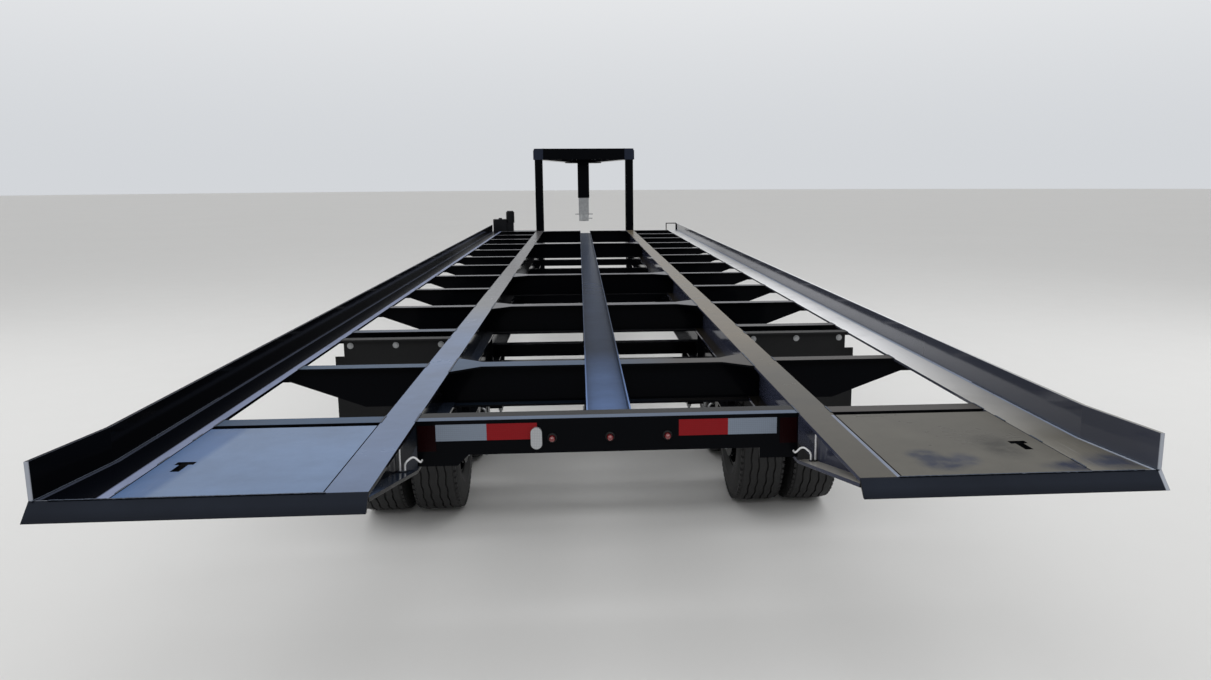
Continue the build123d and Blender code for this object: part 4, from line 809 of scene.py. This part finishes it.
class TRAILER_OT_tyres(bpy.types.Operator):
    """Makes the four pairs of tyres"""
    bl_idname = "trailer.tyres"
    bl_label = "Tyres"

    SEGMENTS = 96
    # Millimetres: the grooves' distances from the middle, the shoulder as rows of (in from the side,
    # down from the tread), the lower wall as rows of (in from the side, up from the bead), and a lug
    GROOVES = (22, 60)
    GROOVE_SLOPE = 1
    SHOULDER = ((26, 3), (16, 12), (8, 34), (4, 48), (5, 50), (1, 72))
    LOWER_WALL = ((2, 62), (1, 58), (3, 54), (8, 36), (16, 20), (20, 13), (28.8, 13), (28.8, 0))
    LUG = (12, 24, 20)
    LUG_DOWN = 17
    LUG_IN = 14

    def execute(self, context):
        settings = context.scene.trailer_tyres
        lugs = lug_tree()
        for place, side, sign in WHEELS:
            self.pair(settings, lugs, place, side)
        return {"FINISHED"}

    def half_profile(self, settings, radius):
        """Points from the middle of the tread to the bead: distance from the tyre's middle, radius and
        the share of the groove's zigzag."""
        half = settings.width / 2
        bead = settings.bead
        floor = radius - settings.groove_depth
        points = [(0.0, radius, 0.0)]
        for groove in self.GROOVES:
            near = groove * MM - settings.groove_width / 2
            far = groove * MM + settings.groove_width / 2
            slope = self.GROOVE_SLOPE * MM
            points += [(near, radius, 1.0), (near + slope, floor, 1.0), (far - slope, floor, 1.0),
                       (far, radius, 1.0)]
        points += [(half - inward * MM, radius - down * MM, 0.0) for inward, down in self.SHOULDER]
        points.append((half, (radius + bead) / 2, 0.0))
        points += [(half - inward * MM, bead + up * MM, 0.0) for inward, up in self.LOWER_WALL]
        return points

    def pair(self, settings, lugs, place, side):
        """One pair of tyres with its grooves and shoulder lugs, joined in one mesh."""
        rubber = bpy.data.materials["tyre rubber"]
        node = f"tyres_{place}_{side}"
        low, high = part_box(node)
        radius = (high.z - low.z) / 2
        middle = (low + high) / 2
        spacing = high.x - low.x - settings.width
        right = self.half_profile(settings, radius)
        ring = right + [(-x, r, z) for x, r, z in reversed(right[1:])]

        def tyre(bm):
            for centre in (-spacing / 2, spacing / 2):
                rings = []
                for step in range(self.SEGMENTS):
                    angle = tau * step / self.SEGMENTS
                    swing = settings.zigzag * (1 if step % 4 < 2 else -1)
                    rings.append([bm.verts.new((middle.x + centre + x + share * swing,
                                                middle.y + r * cos(angle), middle.z + r * sin(angle)))
                                  for x, r, share in ring])
                close_rings(bm, rings)
        carcass = mesh_from(f"carcass_{place}_{side}", tyre, smooth_angle=30)
        carcass.materials.append(rubber)
        blocks = bake_tree(f"lugs_{place}_{side}", bpy.data.meshes.new("lugs"), lugs, {
            "Count": settings.lugs, "Radius": radius - self.LUG_DOWN * MM, "Centre": middle,
            "Spacing": spacing, "Shoulder": settings.width / 2 - self.LUG_IN * MM,
            "Lug": [size * MM for size in self.LUG], "Material": rubber})
        join = bmesh.new()
        join.from_mesh(carcass)
        join.from_mesh(blocks.data)
        join.to_mesh(carcass)
        join.free()
        bpy.data.objects.remove(blocks)
        piece = add_object(f"tyre_pair_{place}_{side}", carcass)
        hand_over(piece, f"wheels_{place}_{side}")
        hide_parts(node)


class TRAILER_OT_wheel_nuts(bpy.types.Operator):
    """Makes the wheel nuts and the screws of the hub caps"""
    bl_idname = "trailer.wheel_nuts"
    bl_label = "Wheel nuts"

    # Distance of the wheel's disc and of the cap's end from the middle of the pair of tyres
    DISC = 10 * MM
    CAP_END = 107 * MM
    CAP_SCREW = 13 * MM

    def execute(self, context):
        settings = context.scene.trailer_wheel_nuts
        heads = head_tree()
        for place, side, sign in WHEELS:
            low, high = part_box(f"tyres_{place}_{side}")
            middle = (low + high) / 2
            for name, count, circle, out, across, sizes in (
                    ("wheel_nuts", settings.count, settings.circle, self.DISC, settings.across,
                     (24, 20, 3, 11, 34)),
                    ("cap_screws", settings.cap_count, settings.cap_circle, self.CAP_END, self.CAP_SCREW,
                     (6, 9, 1.5, 3, 6.5))):
                angles = [tau * (step + 0.5) / count for step in range(count)]
                rows = [((middle.x + sign * out, middle.y + circle * cos(angle),
                          middle.z + circle * sin(angle)), (sign, 0.0, 0.0)) for angle in angles]
                bake_heads(f"{name}_{place}_{side}", f"wheels_{place}_{side}", heads, rows, across, sizes)
        return {"FINISHED"}


class TRAILER_OT_fasteners(bpy.types.Operator):
    """Makes the flap bolts, and the clamps and nuts that hold the springs to the axles"""
    bl_idname = "trailer.fasteners"
    bl_label = "Flap bolts and spring clamps"

    # A flap bolt below the flap's top and ahead of its back, half a clamp along and across, its legs
    # below the tie plate, the leaves under it, the axle tube, the tie plate, and a clamp nut's width
    BOLT_DOWN = 30 * MM
    BOLT_AHEAD = 25.25 * MM
    CLAMP_ALONG = 71.5 * MM
    CLAMP_ACROSS = 47 * MM
    CLAMP_FOOT = 30 * MM
    STACK = 57 * MM
    AXLE_RADIUS = 63.5 * MM
    TIE_PLATE = 12 * MM
    CLAMP_NUT = 24 * MM

    def execute(self, context):
        settings = context.scene.trailer_fasteners
        heads = head_tree()
        self.flap_bolts(settings, heads)
        self.spring_clamps(settings, heads)
        return {"FINISHED"}

    def flap_bolts(self, settings, heads):
        """A row of bolts along the top of both flap plates, on the rear face."""
        rows = [((sign * (settings.flap_first + step * settings.flap_pitch), FLAP_LOW.y + self.BOLT_AHEAD,
                  FLAP_HIGH.z - self.BOLT_DOWN), (0.0, -1.0, 0.0))
                for side, sign in SIDES for step in range(settings.flap_bolts)]
        bake_heads("flap_bolts", "bed", heads, rows, settings.flap_across, (9, 14, 2.5, 4, 9.2))

    def spring_clamps(self, settings, heads):
        """Two bent bars over each spring, whose legs pass the tie plate and carry nuts below it."""
        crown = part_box("leaf_springs")[0].z + self.STACK + settings.clamp_radius
        paths = []
        rows = []
        for place in ("rear", "front"):
            low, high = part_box(f"axle_{place}")
            middle = (low + high) / 2
            plate_bottom = middle.z - self.AXLE_RADIUS - self.TIE_PLATE
            foot = plate_bottom - self.CLAMP_FOOT
            for side, sign in SIDES:
                inner, outer = (sign * BEAM_X + across for across in (-self.CLAMP_ACROSS, self.CLAMP_ACROSS))
                for along in (-self.CLAMP_ALONG, self.CLAMP_ALONG):
                    y = middle.y + along
                    paths.append([(inner, y, foot), (inner, y, crown), (outer, y, crown), (outer, y, foot)])
                    rows += [((x, y, plate_bottom), (0.0, 0.0, -1.0)) for x in (inner, outer)]
        bars = bake_tree("spring_clamps", line_mesh("spring_clamps", paths), bar_tree(), {
            "Bar Radius": settings.clamp_radius, "Bend Radius": settings.clamp_bend,
            "Material": bpy.data.materials["zinc plate"]}, smooth_angle=40)
        hand_over(bars, "chassis")
        bake_heads("clamp_nuts", "chassis", heads, rows, self.CLAMP_NUT, (15, 15, 2.5, 6, 16))


class TRAILER_OT_welds(bpy.types.Operator):
    """Lays the weld beads of the bed and of the chassis"""
    bl_idname = "trailer.welds"
    bl_label = "Welds"

    # Metres: stitches along a platform's outer edge, the rail foot's first bead past its bend, the
    # upright's depth, half the coupler's sleeve, the chamfer of the neck and the bead on its end plate
    STITCH = 60 * MM
    STITCH_STARTS = (40 * MM, 260 * MM, 480 * MM)
    FOOT_RUN = 0.7
    UPRIGHT_DEPTH = 203 * MM
    SLEEVE_HALF = 93 * MM
    NECK_CORNER = 14 * MM
    NECK_PLATE = 10 * MM
    NECK_PLATE_RUN = 180 * MM

    def execute(self, context):
        settings = context.scene.trailer_welds
        paint = context.scene.trailer_paint
        beads = weld_tree()
        # The film on the beads' tops is partly dusty and partly a painted highlight
        painted = enamel("black enamel, weld beads", paint.enamel, paint.bead, paint.cover)
        for body, lines in (("bed", self.bed_lines()), ("chassis", self.chassis_lines())):
            piece = bake_tree(f"welds_{body}", line_mesh(f"welds_{body}", lines), beads, {
                "Width": settings.width, "Height": settings.height, "Pitch": settings.pitch,
                "Seed": settings.seed, "Material": painted}, smooth_angle=60)
            hand_over(piece, body)
        return {"FINISHED"}

    def bed_lines(self):
        """Both sides alike: cross pieces, outriggers, flap bars, platforms, bumper and rail feet."""
        top = DECK_TOP
        lines = []

        def lengthways(x, start, stop):
            lines.append([(x, start, top), (x, stop, top)])
        for number in range(1, 6):
            low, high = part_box(f"centre_crossmember_{number}")
            for side, sign in SIDES:
                lengthways(sign * BEAM_INNER, low.y, high.y)
        stations = [OUTRIGGER_WIDTH / 2] + [MODULE * index for index in range(1, MODULES + 1)]
        for side, sign in SIDES:
            for x in (BEAM_OUTER, RAIL_INNER):
                for station in stations:
                    y = BUMPER_FACE + station
                    lengthways(sign * x, y - OUTRIGGER_WIDTH / 2, y + OUTRIGGER_WIDTH / 2)
                lengthways(sign * x, FLAP_LOW.y, FLAP_HIGH.y)
            for start in self.STITCH_STARTS:
                lengthways(sign * RAIL_INNER, PLATE_LOW.y + start, PLATE_LOW.y + start + self.STITCH)
            lines.append([(sign * BEAM_OUTER, PLATE_LOW.y, top), (sign * RAIL_OUTER, PLATE_LOW.y, top)])
            lengthways(sign * BEAM_INNER, BUMPER_FACE, BUMPER_FRONT)
            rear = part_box(f"side_rail_{side}")[0].y
            bend = rear + FLARE_LENGTH
            foot = RAIL_OUTER - 1 * MM
            lines.append([(sign * (foot + FLARE_OUT), rear, top), (sign * foot, bend, top),
                          (sign * foot, bend + self.FOOT_RUN, top)])
        return lines

    def chassis_lines(self):
        """Feet and tops of the neck's uprights, its top bar, the coupler's sleeve and the jacks."""
        lines = []
        rail_low, rail_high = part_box("chassis_rail_right")
        neck_low, neck_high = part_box("neck_beam_right")
        bar_low, bar_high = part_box("neck_cross_bar")
        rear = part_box("neck_upright_right")[0].y
        front = rear + self.UPRIGHT_DEPTH
        plate_top = neck_high.z + self.NECK_PLATE
        for side, sign in SIDES:
            inner = sign * BEAM_INNER
            outer = sign * BEAM_OUTER
            for z in (rail_high.z, neck_low.z):
                lines += [[(inner, y, z), (outer, y, z)] for y in (rear, front)]
            for y, corner in ((bar_low.y, 0.0), (bar_high.y, self.NECK_CORNER)):
                end = sign * (bar_high.x - corner)
                lines.append([(end, y, bar_low.z), (end, y, bar_high.z)])
            lines += [[(x, front, rail_low.z), (x, front, rail_high.z)] for x in (inner, outer)]
            sleeve = sign * self.SLEEVE_HALF
            lines.append([(sleeve, neck_high.y, neck_low.z), (sleeve, neck_high.y, neck_high.z)])
            lines.append([(sleeve, neck_high.y, plate_top),
                          (sleeve, neck_high.y - self.NECK_PLATE_RUN, plate_top)])
        return lines


class TRAILER_OT_tape(bpy.types.Operator):
    """Sticks the red and white tape on the rear bumper"""
    bl_idname = "trailer.tape"
    bl_label = "Reflective tape"

    THICKNESS = 0.6 * MM

    def execute(self, context):
        settings = context.scene.trailer_tape
        colours = (("red", sheeting("red prismatic sheeting", settings.red), "lamp_red"),
                   ("white", sheeting("white prismatic sheeting", settings.white), "lamp_clear"))
        for side, sign in SIDES:
            start = getattr(settings, f"inner_{side}")
            for colour, material, slot in colours:
                stop = start + settings.segment
                self.strip(f"tape_{colour}_{side}", sign * start, sign * stop, settings, material, slot)
                start = stop
        return {"FINISHED"}

    def strip(self, name, start, stop, settings, material, slot):
        """One colour of the tape, flat on the bumper's face, from start to stop along X."""
        top = DECK_TOP - settings.below_deck
        size = Vector((abs(stop - start), self.THICKNESS, settings.height))
        middle = Vector(((start + stop) / 2, BUMPER_FACE - self.THICKNESS / 2, top - settings.height / 2))

        def block(bm):
            bmesh.ops.create_cube(bm, size=1.0)
            bmesh.ops.scale(bm, vec=size, verts=bm.verts)
            bmesh.ops.translate(bm, vec=middle, verts=bm.verts)
        hand_over(add_object(name, mesh_from(name, block), material), "bed")


class TRAILER_OT_grommets(bpy.types.Operator):
    """Makes the rubber grommets round the marker lamps"""
    bl_idname = "trailer.grommets"
    bl_label = "Lamp grommets"

    SPACING = 175 * MM
    STEPS = 28
    # Millimetres: rows of (radius, out from the bumper's face)
    SECTION = ((9.6, 0.0), (9.6, 3.5), (10.5, 4.5), (13.0, 4.0), (15.0, 2.0), (15.0, 0.0))

    def execute(self, context):
        low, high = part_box("marker_lamps")
        height = (low.z + high.z) / 2

        def grommets(bm):
            for centre in (-self.SPACING, 0.0, self.SPACING):
                angles = [tau * step / self.STEPS for step in range(self.STEPS)]
                close_rings(bm, [[bm.verts.new((centre + r * MM * cos(angle), BUMPER_FACE - out * MM,
                                                height + r * MM * sin(angle)))
                                  for r, out in self.SECTION] for angle in angles])
        piece = add_object("lamp_grommets", mesh_from("lamp_grommets", grommets, smooth_angle=50),
                           bpy.data.materials["rubber sheet"])
        hand_over(piece, "bed")
        return {"FINISHED"}


GROUPS = (
    ("trailer_stage", TrailerStage),
    ("trailer_paint", TrailerPaint),
    ("trailer_tyres", TrailerTyres),
    ("trailer_wheel_nuts", TrailerWheelNuts),
    ("trailer_fasteners", TrailerFasteners),
    ("trailer_welds", TrailerWelds),
    ("trailer_tape", TrailerTape),
)
OPERATORS = (
    TRAILER_OT_stage,
    TRAILER_OT_finishes,
    TRAILER_OT_tyres,
    TRAILER_OT_wheel_nuts,
    TRAILER_OT_fasteners,
    TRAILER_OT_welds,
    TRAILER_OT_tape,
    TRAILER_OT_grommets,
)


class TRAILER_PT_panel(bpy.types.Panel):
    """Sizes, colours and steps of the trailer's finishes"""
    bl_idname = "TRAILER_PT_panel"
    bl_label = "Tilt trailer"
    bl_space_type = "VIEW_3D"
    bl_region_type = "UI"
    bl_category = "Trailer"

    def draw(self, context):
        for name, group in GROUPS:
            column = self.layout.column(align=True)
            settings = getattr(context.scene, name)
            for field in group.__annotations__:
                column.prop(settings, field)
        for operator in OPERATORS:
            self.layout.operator(operator.bl_idname)


def register():
    for name, group in GROUPS:
        bpy.utils.register_class(group)
        setattr(bpy.types.Scene, name, bpy.props.PointerProperty(type=group))
    for operator in OPERATORS:
        bpy.utils.register_class(operator)
    bpy.utils.register_class(TRAILER_PT_panel)


def unregister():
    bpy.utils.unregister_class(TRAILER_PT_panel)
    for operator in reversed(OPERATORS):
        bpy.utils.unregister_class(operator)
    for name, group in reversed(GROUPS):
        delattr(bpy.types.Scene, name)
        bpy.utils.unregister_class(group)


def main():
    register()
    bpy.ops.trailer.stage()
    bpy.ops.trailer.finishes()
    bpy.ops.trailer.tyres()
    bpy.ops.trailer.wheel_nuts()
    bpy.ops.trailer.fasteners()
    bpy.ops.trailer.welds()
    bpy.ops.trailer.tape()
    bpy.ops.trailer.grommets()


if __name__ == "__main__":
    main()
